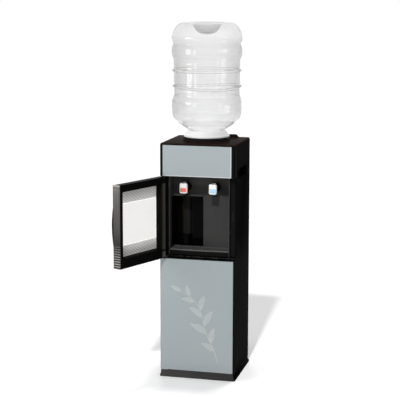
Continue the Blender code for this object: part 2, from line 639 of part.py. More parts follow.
def tap(name):
    """One push tap: body, lever on a cross pin, and the nut behind the wall."""
    x = TAP_X[name]
    body_low, body_high, tip = 0.7215, 0.7530, 0.7075
    body = rod(f"{name}_tap_body", 0.0115, body_low, body_high, (x, SPOUT_Y, 0), BLACK_SATIN, steps=20)
    spout = [(0, tip), (0.0070, tip), (0.0085, body_low + 0.001), (0, body_low + 0.001)]
    join(body, turned(f"{name}_spout", spout, (x, SPOUT_Y, 0), steps=20))
    wall_y, rear_y = TAP_WALL_Y - GAP, SHANK_END_Y
    flange, neck = 0.0155, 0.0095
    shank = [(0, SPOUT_Y + 0.002), (neck, SPOUT_Y + 0.002), (neck, wall_y - 0.004), (flange, wall_y - 0.004),
             (flange, wall_y), (SHANK_RADIUS, wall_y), (SHANK_RADIUS, rear_y), (0, rear_y)]
    join(body, turned(f"{name}_shank", shank, (x, 0, TAP_Z), axis="Y", steps=20))
    for side in (-1, 1):
        across = sorted((x + side * 0.0080, x + side * 0.0108))
        join(body, box(f"{name}_ear_{side}", across, (SPOUT_Y - 0.005, SPOUT_Y + 0.005),
                       (body_high - 0.007, LEVER_PIVOT_Z + 0.004)))
    pin = (x, SPOUT_Y, LEVER_PIVOT_Z)
    cut(body, rod(f"{name}_pin_bore", PIN_HOLE, -0.02, 0.02, pin, axis="X", steps=12))
    rod(f"{name}_lever_pin", PIN_HOLE - GAP, -0.0106, 0.0106, pin, STEEL, axis="X", steps=12)

    half, thick = 0.0177, 0.018
    lever = box(f"{name}_lever", (x - half, x + half), (LEVER_FRONT, LEVER_FRONT + thick),
                (LEVER_BOTTOM, LEVER_TOP), WHITE, bevel=0.004)
    arm_half = 0.0075
    join(lever, box(f"{name}_arm", (x - arm_half, x + arm_half), (LEVER_FRONT + 0.012, SPOUT_Y + 0.004),
                    (LEVER_PIVOT_Z - 0.0035, LEVER_PIVOT_Z + 0.0033)))
    cut(lever, rod(f"{name}_arm_bore", PIN_HOLE, -0.02, 0.02, pin, axis="X", steps=12))
    hang(pivot(f"{name}_lever_axis", pin), lever)

    centre, nut_front = (x, 0, TAP_Z), TAP_WALL_Y + SHEET + GAP
    nut = rod(f"{name}_tap_nut", 0.0140, nut_front, nut_front + 0.0072, centre, WHITE, axis="Y", steps=6)
    cut(nut, rod(f"{name}_nut_bore", SHANK_RADIUS + GAP, -0.06, 0.0, centre, axis="Y", steps=20))


def drip_tray():
    """Shallow basin whose front edge bows out slightly towards the user."""
    half, back = TRAY_HALF, TAP_WALL_Y - 0.0005
    ends, bow, bars = -0.1030, 0.0033, 10
    plan = [(half, back), (-half, back)]
    for k in range(bars + 1):
        x = -half + 2 * half * k / bars
        plan.append((x, ends - bow * (1 - (x / half) ** 2)))
    tray = prism("drip_tray", plan, "Z", ALCOVE_FLOOR + GAP, TRAY_TOP, LINER_GREY)
    floor, inner = ALCOVE_FLOOR + 0.003, half - TRAY_RIM
    cut(tray, box("basin", (-inner, inner), (ends + 0.004, back - TRAY_RIM), (floor, 0.52)))
    ledge_z = (floor - 0.0015, TRAY_TOP - 0.004)
    for side in (-1, 1):
        across = sorted((side * (half - 0.001), side * (half - 0.008)))
        join(tray, box(f"tray_ledge_{side}", across, (ends + 0.003, back - 0.001), ledge_z))


def drip_grid():
    half = TRAY_HALF - TRAY_RIM - 0.0004
    low = TRAY_TOP - 0.004 + GAP
    grid = box("drip_grid", (-half, half), (-0.0986, -0.0434), (low, TRAY_TOP - 0.0006), LINER_GREY)
    slots, pitch, width = 13, 0.016, 0.010
    for k in range(slots):
        x = (k - (slots - 1) / 2) * pitch
        cut(grid, box(f"slot_{k}", (x - width / 2, x + width / 2), (-0.092, -0.050), (0.49, 0.51)))


def reservoir():
    """Steel cup that hangs by its rim under the top cover, in a foam jacket open at the rear."""
    radius, low, rim = RESERVOIR_RADIUS, RESERVOIR_FLOOR, COVER_BOTTOM - GAP
    wall, corner = 0.002, 0.008
    outline = [(0, low), (radius - corner, low), (radius, low + corner), (radius, rim), (radius - wall, rim),
               (radius - wall, low + corner + 0.001), (radius - corner - 0.001, low + wall), (0, low + wall)]
    turned("reservoir", outline, (0, BOTTLE_Y, 0), STAINLESS)
    inner, outer = radius + GAP, radius + 0.0115
    jacket_low, jacket_high = low + 0.011, 0.9000
    ring = [(inner, jacket_low), (outer, jacket_low), (outer, jacket_high), (inner, jacket_high)]
    jacket = turned("reservoir_jacket", ring, (0, BOTTLE_Y, 0), FOAM)
    cut(jacket, box("jacket_window", (-0.024, 0.024), (BOTTLE_Y + 0.05, 0.14), (0.80, 0.91)))


def cooling():
    """Cold plate, thermoelectric module and finned heat sink, stacked towards the back."""
    plate, module = 0.021, 0.020
    plate_end, module_end, base_end, fin_end = 0.1055, 0.1096, 0.1130, 0.1225
    box("cold_plate", (-plate, plate), (BOTTLE_Y + RESERVOIR_RADIUS + GAP, plate_end),
        (FAN_Z - plate, FAN_Z + plate), ALUMINIUM)
    box("cooling_module", (-module, module), (plate_end + GAP, module_end),
        (FAN_Z - module, FAN_Z + module), WHITE)
    fins, pitch, fin = 11, 0.0084, 0.0028
    half = ((fins - 1) * pitch + fin) / 2
    comb = [(-half, module_end + GAP), (half, module_end + GAP)]
    for k in range(fins):
        x = half - k * pitch
        comb += [(x, fin_end), (x - fin, fin_end), (x - fin, base_end), (x - pitch, base_end)]
    prism("heat_sink", comb[:-2], "Z", FAN_Z - 0.042, FAN_Z + 0.042, ALUMINIUM)


def fan():
    """Square housing with a guard cross, and a five-bladed rotor behind it."""
    half, front, back = 0.040, 0.1228, 0.1360
    centre = (0, 0, FAN_Z)
    housing = box("fan_housing", (-half, half), (front, back), (FAN_Z - half, FAN_Z + half), BLACK_SATIN)
    bore, mouth, step = 0.037, 0.034, 0.1345
    throat = [(0, 0.10), (bore, 0.10), (bore, step), (mouth, step), (mouth, 0.15), (0, 0.15)]
    cut(housing, turned("fan_throat", throat, centre, axis="Y"))
    bar, arm = 0.0025, 0.0362
    cross = []
    for turn in range(4):
        c, s = round(math.cos(turn * math.pi / 2)), round(math.sin(turn * math.pi / 2))
        for u, v in ((bar, bar), (bar, arm), (-bar, arm)):
            cross.append((u * c - v * s, FAN_Z + u * s + v * c))
    cross_y = (step + 0.0004, step + 0.0012)
    join(housing, prism("fan_cross", cross, "Y", *cross_y))

    blades, pitch = 5, math.radians(22)
    hub = [(0, front + 0.0014), (0.0120, front + 0.0014), (0.0120, 0.1330), (0.0030, 0.1330),
           (0.0030, cross_y[0] - GAP), (0, cross_y[0] - GAP)]
    rotor = turned("fan_rotor", hub, centre, GREY_PLASTIC, axis="Y", steps=20)
    for k in range(blades):
        blade = box(f"fan_blade_{k}", (-0.0068, 0.0068), (-0.0009, 0.0009), (0.008, 0.0345))
        turn = Matrix.Rotation(math.tau * k / blades, 4, "Y")
        blade.matrix_world = Matrix.Translation((0, 0.1287, FAN_Z)) @ turn @ Matrix.Rotation(pitch, 4, "Z")
        join(rotor, blade)
    hang(pivot("fan_axis", centre), rotor)


def hot_side():
    """Hot tank on its heater base, with a thermostat on the tank's front."""
    x, y = TANK_CENTRE
    r, low = TANK_RADIUS, TANK_FLOOR
    tank = [(0, low), (r - 0.010, low), (r, low + 0.008), (r, TANK_TOP - 0.011),
            (r - 0.010, TANK_TOP - 0.002), (0, TANK_TOP)]
    turned("hot_tank", tank, (x, y, 0), STAINLESS)
    foot, neck = DECK_TOP + GAP, 0.026
    base = [(0, foot), (0.036, foot), (0.036, foot + 0.006), (neck, foot + 0.009), (neck, low - GAP),
            (0, low - GAP)]
    turned("heater_base", base, (x, y, 0), STEEL, steps=24)
    face = y - r - GAP
    stat = [(0, face - 0.0080), (0.0095, face - 0.0080), (0.0110, face - 0.0010), (0.0110, face), (0, face)]
    turned("thermostat", stat, (x, 0, low + 0.080), WHITE, axis="Y", steps=16)


def pipes():
    """Silicone tubes: reservoir to tank, tank and reservoir to their taps, and tank to drain."""
    x, y = TANK_CENTRE
    over_tank, under_cup, behind_tap = TANK_TOP + GAP, RESERVOIR_FLOOR - GAP, SHANK_END_Y + GAP
    hot_x, cold_x = TAP_X["hot"], TAP_X["cold"]
    tube("tank_feed_pipe", [(-0.030, 0.030, under_cup), (-0.030, 0.030, 0.780), (-0.050, 0.060, 0.720),
                            (x, y, 0.675), (x, y, over_tank)])
    tube("hot_outlet_pipe", [(x + 0.026, y, over_tank), (x + 0.026, y, 0.672), (x + 0.014, 0.040, 0.730),
                             (hot_x, 0.002, TAP_Z), (hot_x, behind_tap, TAP_Z)])
    tube("cold_outlet_pipe", [(0.030, 0.020, under_cup), (0.030, 0.020, 0.782), (0.045, 0.024, 0.745),
                              (cold_x, 0.002, TAP_Z), (cold_x, behind_tap, TAP_Z)])
    side = x - TANK_RADIUS - GAP
    drain_x, drain_z = DRAIN
    tube("drain_pipe", [(side, y, 0.520), (side - 0.012, y, 0.520), (-0.124, y + 0.018, 0.508),
                        (drain_x, 0.112, drain_z), (drain_x, SPIGOT_START - GAP, drain_z)])


def drain():
    """Spigot through the back panel with a cap screwed over its end."""
    x, z = DRAIN
    centre = (x, 0, z)
    end, bore = SPIGOT_START + 0.023, 0.0078
    spigot = rod("drain_spigot", bore, SPIGOT_START, end, centre, WHITE, axis="Y", steps=20)
    join(spigot, rod("spigot_flange", 0.0120, BACK + GAP, BACK + 0.0025, centre, axis="Y", steps=20))
    inner, outer, rim, cover = bore + GAP, 0.0110, end - 0.0062, end + 0.0035
    cap = [(0, end + GAP), (inner, end + GAP), (inner, rim), (outer, rim), (outer, cover), (0, cover)]
    turned("drain_cap", cap, centre, BLACK_SATIN, axis="Y", steps=20)


def electrics():
    """Board box on the deck, the mains inlet and the two rocker switches."""
    box("power_board_box", (0.020, 0.115), (0.050, 0.118), (DECK_TOP + GAP, 0.5200), GREY_PLASTIC)
    outside = BACK + 0.0015
    x, z = INLET
    inlet = box("power_inlet", (x - 0.0155, x + 0.0155), (0.1190, outside), (z - 0.0125, z + 0.0125),
                BLACK_SATIN)
    cut(inlet, box("inlet_well", (x - 0.0125, x + 0.0125), (0.1280, 0.15), (z - 0.0095, z + 0.0095)))
    for k in (-1, 0, 1):
        pin_x = x + 0.0065 * k
        across = (pin_x - 0.001, pin_x + 0.001)
        join(inlet, box(f"contact_{k}", across, (0.1270, 0.1370), (z - 0.0025, z + 0.0025)))
    x, z = (HEATER_SWITCH_X + COOLER_SWITCH_X) / 2, SWITCH_Z
    housing = box("switch_housing", (x - 0.0220, x + 0.0220), (0.1230, outside), (z - 0.0225, z + 0.0225),
                  BLACK_SATIN)
    rockers = (("heater_switch", HEATER_SWITCH_X, RED), ("cooler_switch", COOLER_SWITCH_X, GREEN))
    for name, x, finish in rockers:
        cut(housing, box(f"{name}_well", (x - 0.0068, x + 0.0068), (0.1270, 0.15), (z - 0.0120, z + 0.0120)))
        inner, pressed, middle, proud = 0.1300, 0.1396, 0.1390, 0.1428
        wedge = [(inner, z - 0.0075), (pressed, z - 0.0100), (middle, z), (proud, z + 0.0095),
                 (inner, z + 0.0075)]
        rocker = prism(name, wedge, "X", x - 0.0062, x + 0.0062, finish)
        hang(pivot(f"{name}_axis", (x, ROCKER_Y, z)), rocker)


def build():
    clear_scene()
    base_plinth()
    side_panel("left_side_panel", -1)
    side_panel("right_side_panel", 1)
    back_panel()
    front_frame()
    upper_glass()
    top_cover()
    seat_collar()
    bottle_seat()
    feed_probe()
    bottle()
    bottle_cap()
    alcove_liner()
    niche_liner()
    mid_deck()
    storage_liner()
    storage_shelf()
    storage_door()
    tap_door()
    door_magnet()
    hinges()
    for name in TAP_X:
        tap(name)
    drip_tray()
    drip_grid()
    reservoir()
    cooling()
    fan()
    hot_side()
    pipes()
    drain()
    electrics()


build()
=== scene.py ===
"""Looks of a free-standing bottled-water dispenser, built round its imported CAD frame.

Metres, +Z up. The front faces -Y and +X is to the right of someone who stands in front.
Each piece rides the CAD body that it belongs to, so one script serves every pose.
"""
import json
import math

import bmesh
import bpy
from mathutils import Matrix, Vector

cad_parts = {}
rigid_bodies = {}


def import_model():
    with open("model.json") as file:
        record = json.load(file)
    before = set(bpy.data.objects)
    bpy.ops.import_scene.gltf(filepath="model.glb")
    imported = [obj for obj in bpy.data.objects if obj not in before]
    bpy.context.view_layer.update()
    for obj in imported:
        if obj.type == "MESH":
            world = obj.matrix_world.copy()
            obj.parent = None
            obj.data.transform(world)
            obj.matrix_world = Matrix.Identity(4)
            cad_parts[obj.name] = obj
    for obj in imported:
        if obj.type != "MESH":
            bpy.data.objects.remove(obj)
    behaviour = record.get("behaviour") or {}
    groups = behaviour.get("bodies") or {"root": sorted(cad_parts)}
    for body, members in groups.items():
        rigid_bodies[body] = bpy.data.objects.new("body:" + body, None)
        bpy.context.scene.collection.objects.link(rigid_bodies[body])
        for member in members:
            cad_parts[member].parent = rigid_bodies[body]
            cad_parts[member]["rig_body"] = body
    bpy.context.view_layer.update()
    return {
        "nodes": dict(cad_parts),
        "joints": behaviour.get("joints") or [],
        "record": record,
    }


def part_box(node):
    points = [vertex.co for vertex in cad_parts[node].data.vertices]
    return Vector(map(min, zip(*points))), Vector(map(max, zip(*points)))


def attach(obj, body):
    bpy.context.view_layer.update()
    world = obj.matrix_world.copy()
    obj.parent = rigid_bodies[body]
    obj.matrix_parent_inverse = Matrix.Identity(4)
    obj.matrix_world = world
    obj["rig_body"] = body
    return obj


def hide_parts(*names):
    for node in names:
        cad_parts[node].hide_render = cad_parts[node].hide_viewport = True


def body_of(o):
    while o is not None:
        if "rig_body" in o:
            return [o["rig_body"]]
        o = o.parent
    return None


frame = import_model()
NODES = frame["nodes"]
JOINTS = {joint["name"]: joint for joint in frame["joints"]}
SLOT_OF = {part["node"]: part["material_slot"] for part in frame["record"]["subparts"]}

# Camera, as the photograph was taken
CAMERA_AT = Vector((1.1062, -4.5501, 1.4866))
CAMERA_AZIMUTH = math.radians(13.93)
CAMERA_PITCH = math.radians(9.77)
CAMERA_ROLL = math.radians(0.11)
CAMERA_LENS = 110.0
SENSOR = 36.0

# Where the frame has the main forms
SEAT_AXIS = (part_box("bottle")[0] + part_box("bottle")[1]) / 2
SEAT_AXIS.z = 0.0
BOTTLE_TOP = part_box("bottle")[1].z
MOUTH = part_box("bottle")[0].z
COVER_LOW, COVER_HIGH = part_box("top_cover")
HINGE = Vector(JOINTS["tap_door_hinge"]["pos_m"])
DOOR_OPEN = math.radians(-JOINTS["tap_door_hinge"]["range_deg"][0])
EDGE_LOW, EDGE_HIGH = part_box("tap_door_edge")
GLASS_LOW, GLASS_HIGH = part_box("storage_door_glass")
UPPER_LOW, UPPER_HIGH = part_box("upper_glass")

# Half the clear width between the stiles, and the thickness of the bottle's wall
STILE_INNER = 0.1215
WALL = 0.0016

# Paint behind the silver panes: the upper one, and the top and foot of the lower one, whose foot is a shade
# darker as painted shading
SILVER = (0.318, 0.364, 0.384)
SILVER_TOP = (0.254, 0.298, 0.310)
SILVER_FOOT_SHADED = (0.252, 0.291, 0.307)


def grey(level):
    return (level, level, level)


def add_node(tree, kind, inputs=None, **settings):
    """A new shader node; each input is given as a value or as the socket that feeds it."""
    node = tree.nodes.new("ShaderNode" + kind)
    for key, value in settings.items():
        setattr(node, key, value)
    for key, value in (inputs or {}).items():
        if isinstance(value, bpy.types.NodeSocket):
            tree.links.new(value, node.inputs[key])
        else:
            node.inputs[key].default_value = value
    return node


class Surface:
    """A Principled material; its colour, roughness and bump come from nodes."""

    def __init__(self, name, **sockets):
        self.material = bpy.data.materials.new(name)
        self.material.use_nodes = True
        self.tree = self.material.node_tree
        self.shader = self.tree.nodes["Principled BSDF"]
        for key, value in sockets.items():
            self.shader.inputs[key.replace("_", " ")].default_value = value
        self.place = self.add("TexCoord").outputs["Object"]

    def add(self, kind, inputs=None, **settings):
        return add_node(self.tree, kind, inputs, **settings)

    def maths(self, operation, a, b=0.0):
        return self.add("Math", {0: a, 1: b}, operation=operation).outputs[0]

    def noise(self, scale, detail=2.0, stretch=(1.0, 1.0, 1.0)):
        spot = self.add("Mapping", {"Vector": self.place, "Scale": stretch}).outputs[0]
        return self.add("TexNoise", {"Vector": spot, "Scale": scale, "Detail": detail}).outputs["Fac"]

    def span(self, value, low, high, start=0.3, end=0.7):
        """The value, from start to end, spread evenly from low to high."""
        ends = {"From Min": start, "From Max": end, "To Min": low, "To Max": high}
        return self.add("MapRange", {"Value": value, **ends}).outputs[0]

    def off(self, value, middle):
        """How far the value is from the middle."""
        return self.maths("ABSOLUTE", self.maths("SUBTRACT", value, middle))

    def xyz(self):
        """Where the point is, split into x, y and z."""
        return self.add("SeparateXYZ", {"Vector": self.place}).outputs

    def shut(self):
        """Where the point is when the tap door is shut, split into x, y and z."""
        shift = HINGE - Matrix.Rotation(DOOR_OPEN, 3, "Z") @ HINGE
        move = {"Vector": self.place, "Rotation": (0, 0, DOOR_OPEN), "Location": shift}
        turned = self.add("Mapping", move).outputs[0]
        return self.add("SeparateXYZ", {"Vector": turned}).outputs

    def sideways(self, low, high):
        """1 on faces that look left or right, 0 on the others."""
        normal = self.add("NewGeometry").outputs["Normal"]
        across = self.add("SeparateXYZ", {"Vector": normal}).outputs["X"]
        return self.span(self.maths("ABSOLUTE", across), 0.0, 1.0, low, high)

    def spread(self, centre):
        """Distance from an upright axis."""
        at = self.xyz()
        runs = [self.maths("SUBTRACT", at[axis], middle) for axis, middle in zip("XY", centre)]
        squares = [self.maths("POWER", run, 2.0) for run in runs]
        return self.maths("SQRT", self.maths("ADD", *squares))

    def ramp(self, value, *stops):
        """Colour of the value, from pairs of position and colour."""
        node = self.add("ValToRGB", {"Fac": value})
        elements = node.color_ramp.elements
        for k, (position, colour) in enumerate(stops):
            element = elements[k] if k < 2 else elements.new(position)
            element.position = position
            element.color = (*colour, 1.0)
        return node.outputs["Color"]

    def mix(self, factor, a, b):
        """Between two colours, each a tuple or a socket."""
        ends = [c if isinstance(c, bpy.types.NodeSocket) else (*c, 1.0) for c in (a, b)]
        node = self.add("Mix", {0: factor, 6: ends[0], 7: ends[1]}, data_type="RGBA")
        return node.outputs[2]

    def drifting(self, dark, pale, scale=11.0, detail=3.0, stretch=(1.0, 1.0, 1.0)):
        """A colour that drifts from one tone to the other over the surface."""
        return self.mix(self.span(self.noise(scale, detail, stretch), 0.0, 1.0), dark, pale)

    def edges(self, radius):
        """1 along edges, 0 on flat ground; the edges it marks are painted paler, partly as worn edges and
        partly as painted highlight.
        """
        rounded = self.add("Bevel", {"Radius": radius}, samples=6).outputs[0]
        plain = self.add("NewGeometry").outputs["Normal"]
        same = self.add("VectorMath", {0: rounded, 1: plain}, operation="DOT_PRODUCT").outputs["Value"]
        return self.span(same, 1.0, 0.0, 0.75, 0.98)

    def set(self, socket, value):
        self.tree.links.new(value, self.shader.inputs[socket])

    def bump(self, height, distance, strength=1.0):
        node = self.add("Bump", {"Height": height, "Distance": distance, "Strength": strength})
        self.set("Normal", node.outputs[0])

    def grained(self, smooth, rough, grain, depth, patches=(35.0, 4.0)):
        """Patches of roughness over a fine grain; gives the finished material."""
        self.set("Roughness", self.span(self.noise(*patches), smooth, rough))
        self.bump(self.noise(grain), depth)
        return self.material


def moulded(name, colour, roughness, grain=900.0, depth=0.00002, drift=0.08, wear_and_edge_highlight=0.4, edge=0.0009,
            **sockets):
    """Moulded or painted finish: slow drift of tone, fine grain and slightly paler edges, partly worn and
    partly a painted highlight.
    """
    s = Surface(name, **sockets)
    dark = tuple(c * (1 - drift) for c in colour)
    pale = tuple(c * (1 + drift) for c in colour)
    ground = s.drifting(dark, pale)
    # Paler edges: partly worn, partly a painted highlight.
    if wear_and_edge_highlight:
        scuffed_and_highlit = tuple(c + (0.5 - c) * 0.10 for c in colour)
        patchy_wear_and_highlight = s.maths("MULTIPLY", s.edges(edge), s.span(s.noise(60.0, 3.0), 0.0, wear_and_edge_highlight, 0.4, 0.7))
        ground = s.mix(patchy_wear_and_highlight, ground, scuffed_and_highlit)
    s.set("Base Color", ground)
    return s.grained(roughness * 0.93, roughness * 1.07, grain, depth)


def brushed(name, colour, roughness, stretch):
    """Metal with fine lines drawn along one direction."""
    s = Surface(name, Metallic=1.0)
    lines = s.noise(260.0, 3.0, stretch)
    dark = tuple(c * 0.82 for c in colour)
    s.set("Base Color", s.mix(s.span(lines, 0.0, 1.0), dark, colour))
    s.set("Roughness", s.span(lines, roughness * 0.8, roughness * 1.25))
    s.bump(lines, 0.00002)
    return s.material


def silver_glass(name="silver_glass", tone=SILVER, foot=SILVER, z=(0.0, 1.0), rim_highlight=None, line=None):
    """Glass painted silver-blue on its back, a deep gloss with very fine metal flake.

    The tone shifts to that of its foot over the heights z, as painted shading. Past the
    rim_highlight's x, or below its z, the polished edge is painted paler, a painted highlight. To
    the left of the line the pane is dark.
    """
    s = Surface(name, IOR=1.5, Coat_Weight=0.6, Coat_Roughness=0.03)
    flake = s.noise(5200.0, 1.0)
    at = s.xyz()
    # Painted shading: the tone shifts to the foot's, a shade darker low down.
    ground = s.mix(s.span(at["Z"], 1.0, 0.0, *z), tone, foot)
    ground = s.mix(s.span(s.noise(5.0, 2.0), 0.0, 0.05), ground, grey(0.5))
    ground = s.mix(s.span(flake, 0.0, 0.22), ground, (0.42, 0.46, 0.47))
    # Painted highlight along the polished edge.
    if rim_highlight:
        right, low = rim_highlight
        beside = s.span(at["X"], 0.0, 1.0, right - 0.0006, right)
        below = s.span(at["Z"], 1.0, 0.0, low, low + 0.0006)
        ground = s.mix(s.maths("MAXIMUM", beside, below), ground, (0.56, 0.58, 0.585))
    if line is not None:
        ground = s.mix(s.span(at["X"], 1.0, 0.0, line - 0.0003, line), ground, (0.030, 0.031, 0.032))
    s.set("Base Color", ground)
    s.set("Roughness", s.span(flake, 0.05, 0.09))
    return s.material


def clear_plastic():
    """Blown clear plastic; greyer where the wall is seen edge on, painted shade that stands in
    for dark surroundings seen in the wall. This greying and the tone face on are set by height,
    paler low down and at the top as painted light, and the dished base is darker.
    """
    s = Surface("bottle_clear", Transmission_Weight=1.0, IOR=1.45)
    facing = s.add("LayerWeight", {"Blend": 0.28}).outputs["Facing"]
    height = s.xyz()["Z"]
    level = s.span(height, 0.0, 1.0, 0.94, 1.36)
    # Painted shade edge on, set by height: paler low down and at the top as painted light.
    edge_on_shade = s.ramp(level, (0.0, grey(0.92)), (0.125, grey(0.90)), (0.19, grey(0.30)), (0.80, grey(0.30)),
                     (0.90, grey(0.70)))
    face_on = s.ramp(level, (0.0, grey(0.98)), (0.125, grey(0.98)), (0.19, grey(0.90)), (0.80, grey(0.90)),
                     (0.90, grey(0.94)))
    dish = s.maths("MULTIPLY", s.span(s.spread(SEAT_AXIS), 1.0, 0.0, 0.048, 0.066),
                   s.span(height, 0.0, 1.0, 1.30, 1.32))
    side = s.mix(facing, face_on, edge_on_shade)
    s.set("Base Color", s.mix(dish, side, s.mix(facing, grey(0.86), grey(0.20))))
    s.set("Roughness", s.span(s.noise(30.0, 2.0), 0.01, 0.035))
    s.bump(s.noise(16.0, 2.0, (1.0, 1.0, 0.6)), 0.0015, 0.35)
    return s.material


def clear_glass(name, tint, ior):
    """Clear pane or film; the tint drifts very slightly."""
    s = Surface(name, Transmission_Weight=1.0, IOR=ior)
    s.set("Base Color", s.drifting(tint, tuple(c + 0.015 for c in tint), 8.0, 2.0))
    s.set("Roughness", s.span(s.noise(40.0, 3.0), 0.0, 0.02))
    return s.material


def hatched_film():
    """Pale film on the window with fine slanting lines, darker towards the window's ends."""
    s = Surface("hatched_film", Roughness=0.45, Transmission_Weight=0.55, IOR=1.1)
    at = s.shut()
    pitch, slope = 0.0115, 0.66
    along = s.maths("SUBTRACT", at["Z"], s.maths("MULTIPLY", at["X"], slope))
    wave = s.maths("SINE", s.maths("MULTIPLY", along, math.tau / pitch))
    line = s.span(wave, 0.0, 1.0, -0.1, 0.7)
    middle, reach = 0.6376, 0.124
    outer = s.span(s.off(at["Z"], middle), 0.0, 1.0, reach * 0.60, reach * 0.92)
    ground = s.mix(outer, (0.98, 0.975, 0.96), (0.60, 0.592, 0.58))
    printed = s.mix(outer, (0.70, 0.692, 0.68), (0.36, 0.353, 0.346))
    s.set("Base Color", s.mix(line, ground, printed))
    s.bump(line, 0.00005)
    return s.material


def door_edge_look():
    """Silver-grey strip with painted reflection that darkens downwards and a pale painted highlight along its
    top; at its foot, pale lands as painted highlight between grooves darkened as painted shade, and painted
    shade by the grip.
    """
    s = Surface("door_edge", IOR=1.32)
    at = s.shut()
    height = s.span(at["Z"], 0.0, 1.0, EDGE_LOW.z, EDGE_HIGH.z)
    # Painted reflection and highlights: pale lands at the foot, a dark band above them, tone darkening
    # downwards and a pale line along the top.
    ground = s.ramp(height, (0.0, (0.33, 0.316, 0.300)), (0.14, (0.27, 0.257, 0.244)),
                    (0.285, (0.072, 0.066, 0.062)), (0.30, (0.010, 0.009, 0.008)),
                    (0.50, (0.058, 0.051, 0.047)), (0.68, (0.080, 0.073, 0.068)),
                    (0.90, (0.124, 0.117, 0.112)), (0.960, (0.175, 0.167, 0.157)),
                    (0.972, (0.065, 0.062, 0.059)), (0.984, (0.39, 0.35, 0.31)))
    streaks = s.noise(240.0, 3.0, (1.0, 1.0, 0.03))
    ground = s.mix(s.span(streaks, 0.0, 0.35), ground, (0.035, 0.032, 0.030))
    first_groove, pitch, last_groove = 0.4821, 0.0092, 0.5680
    turns = s.maths("MULTIPLY", s.maths("SUBTRACT", at["Z"], first_groove), math.tau / pitch)
    deep = s.span(s.maths("COSINE", turns), 0.0, 1.0, -0.35, -0.05)
    foot = s.span(at["Z"], 1.0, 0.0, last_groove, last_groove + 0.0010)
    grip_middle, grip_half = 0.6335, 0.066
    grip_shade = s.span(s.off(at["Z"], grip_middle), 1.0, 0.0, grip_half - 0.018, grip_half)
    front = s.span(at["Y"], 1.0, 0.0, GLASS_LOW.y + 0.0022, GLASS_LOW.y + 0.0032)
    # Painted shade in the grooves at the foot, and on the front side by the grip.
    dark = s.maths("MAXIMUM", s.maths("MULTIPLY", deep, foot), s.maths("MULTIPLY", front, grip_shade))
    s.set("Base Color", s.mix(dark, ground, grey(0.005)))
    s.set("Roughness", s.span(streaks, 0.30, 0.42))
    s.bump(streaks, 0.00002)
    return s.material


def door_black():
    """Black door shell, with a painted highlight down its hinge side as a paler grey strip, and the hinge's
    knuckle below painted paler still.
    """
    s = Surface("door_black", IOR=1.03)
    at = s.shut()
    strip_x, strip_middle, strip_half = HINGE.x + 0.0205, 0.6372, 0.1260
    knuckle_z, knuckle_half = 0.4915, 0.0110
    inside = s.span(at["Y"], 0.0, 1.0, HINGE.y + 0.0190, HINGE.y + 0.0200)
    column = s.span(s.off(at["Z"], strip_middle), 1.0, 0.0, strip_half, strip_half + 0.0030)
    knuckle = s.span(s.off(at["Z"], knuckle_z), 1.0, 0.0, knuckle_half, knuckle_half + 0.0008)
    shown = s.maths("MULTIPLY", s.maths("MAXIMUM", column, knuckle), inside)
    # Painted highlight: the paler strip down the hinge side, brightest at its middle, and the paler knuckle.
    strip = s.maths("MULTIPLY", s.span(s.off(at["X"], strip_x), 1.0, 0.0, 0.0045, 0.0150), shown)
    black = s.drifting((0.0034, 0.0031, 0.0029), (0.0048, 0.0044, 0.0042), 14.0)
    # Edges painted paler, partly worn and partly a painted highlight.
    scuffed_and_highlit = s.mix(s.maths("MULTIPLY", s.edges(0.0009), 0.5), black, (0.05, 0.048, 0.045))
    paler = s.mix(knuckle, (0.052, 0.050, 0.043), (0.090, 0.088, 0.084))
    s.set("Base Color", s.mix(strip, scuffed_and_highlit, paler))
    return s.grained(0.22, 0.28, 500.0, 0.00001)


def niche_black():
    """Deep black lining; the half-round pillar at its back is painted paler as a painted highlight,
    olive-grey to the left and grey-violet to the right, with darker upright streaks.
    """
    s = Surface("niche_black", IOR=1.10)
    at = s.xyz()
    pillar_at, pillar_radius, pillar_foot = (-0.074, 0.0075), 0.0198, 0.5455
    near = s.span(s.spread(pillar_at), 1.0, 0.0, pillar_radius, pillar_radius + 0.0010)
    above = s.span(at["Z"], 0.0, 1.0, pillar_foot, pillar_foot + 0.0010)
    black = s.drifting((0.0012, 0.0011, 0.0011), (0.0022, 0.0020, 0.0020), 9.0, stretch=(1.0, 1.0, 0.3))
    # Painted highlight on the pillar, broken by darker upright streaks.
    highlight_streaks = s.noise(150.0, 2.0, (1.0, 1.0, 0.02))
    across = s.span(at["X"], 0.0, 1.0, -0.080, -0.066)
    turned = s.mix(across, (0.0215, 0.0205, 0.0160), (0.0185, 0.0172, 0.0188))
    pillar = s.mix(s.span(highlight_streaks, 0.0, 0.6), turned, (0.0060, 0.0055, 0.0055))
    s.set("Base Color", s.mix(s.maths("MULTIPLY", near, above), black, pillar))
    return s.grained(0.10, 0.16, 400.0, 0.000006, (40.0, 3.0))


def side_paint():
    """Painted sheet; its faint upright streaks and its paler tone low down and at the top are painted
    reflection.
    """
    s = Surface("side_paint", IOR=1.008)
    # Painted reflection: paler low down and at the top, darker between.
    ground = s.ramp(s.xyz()["Z"], (0.0, (0.0150, 0.0143, 0.0141)), (0.44, (0.0140, 0.0133, 0.0131)),
                    (0.55, (0.0032, 0.0029, 0.0029)), (0.76, (0.0036, 0.0032, 0.0032)),
                    (0.86, (0.0105, 0.0097, 0.0093)))
    # Painted sheen: faint darker upright streaks.
    streaks = s.noise(70.0, 2.0, (1.0, 1.0, 0.04))
    s.set("Base Color", s.mix(s.span(streaks, 0.0, 0.55), ground, (0.0012, 0.0010, 0.0010)))
    return s.grained(0.39, 0.45, 700.0, 0.00004)


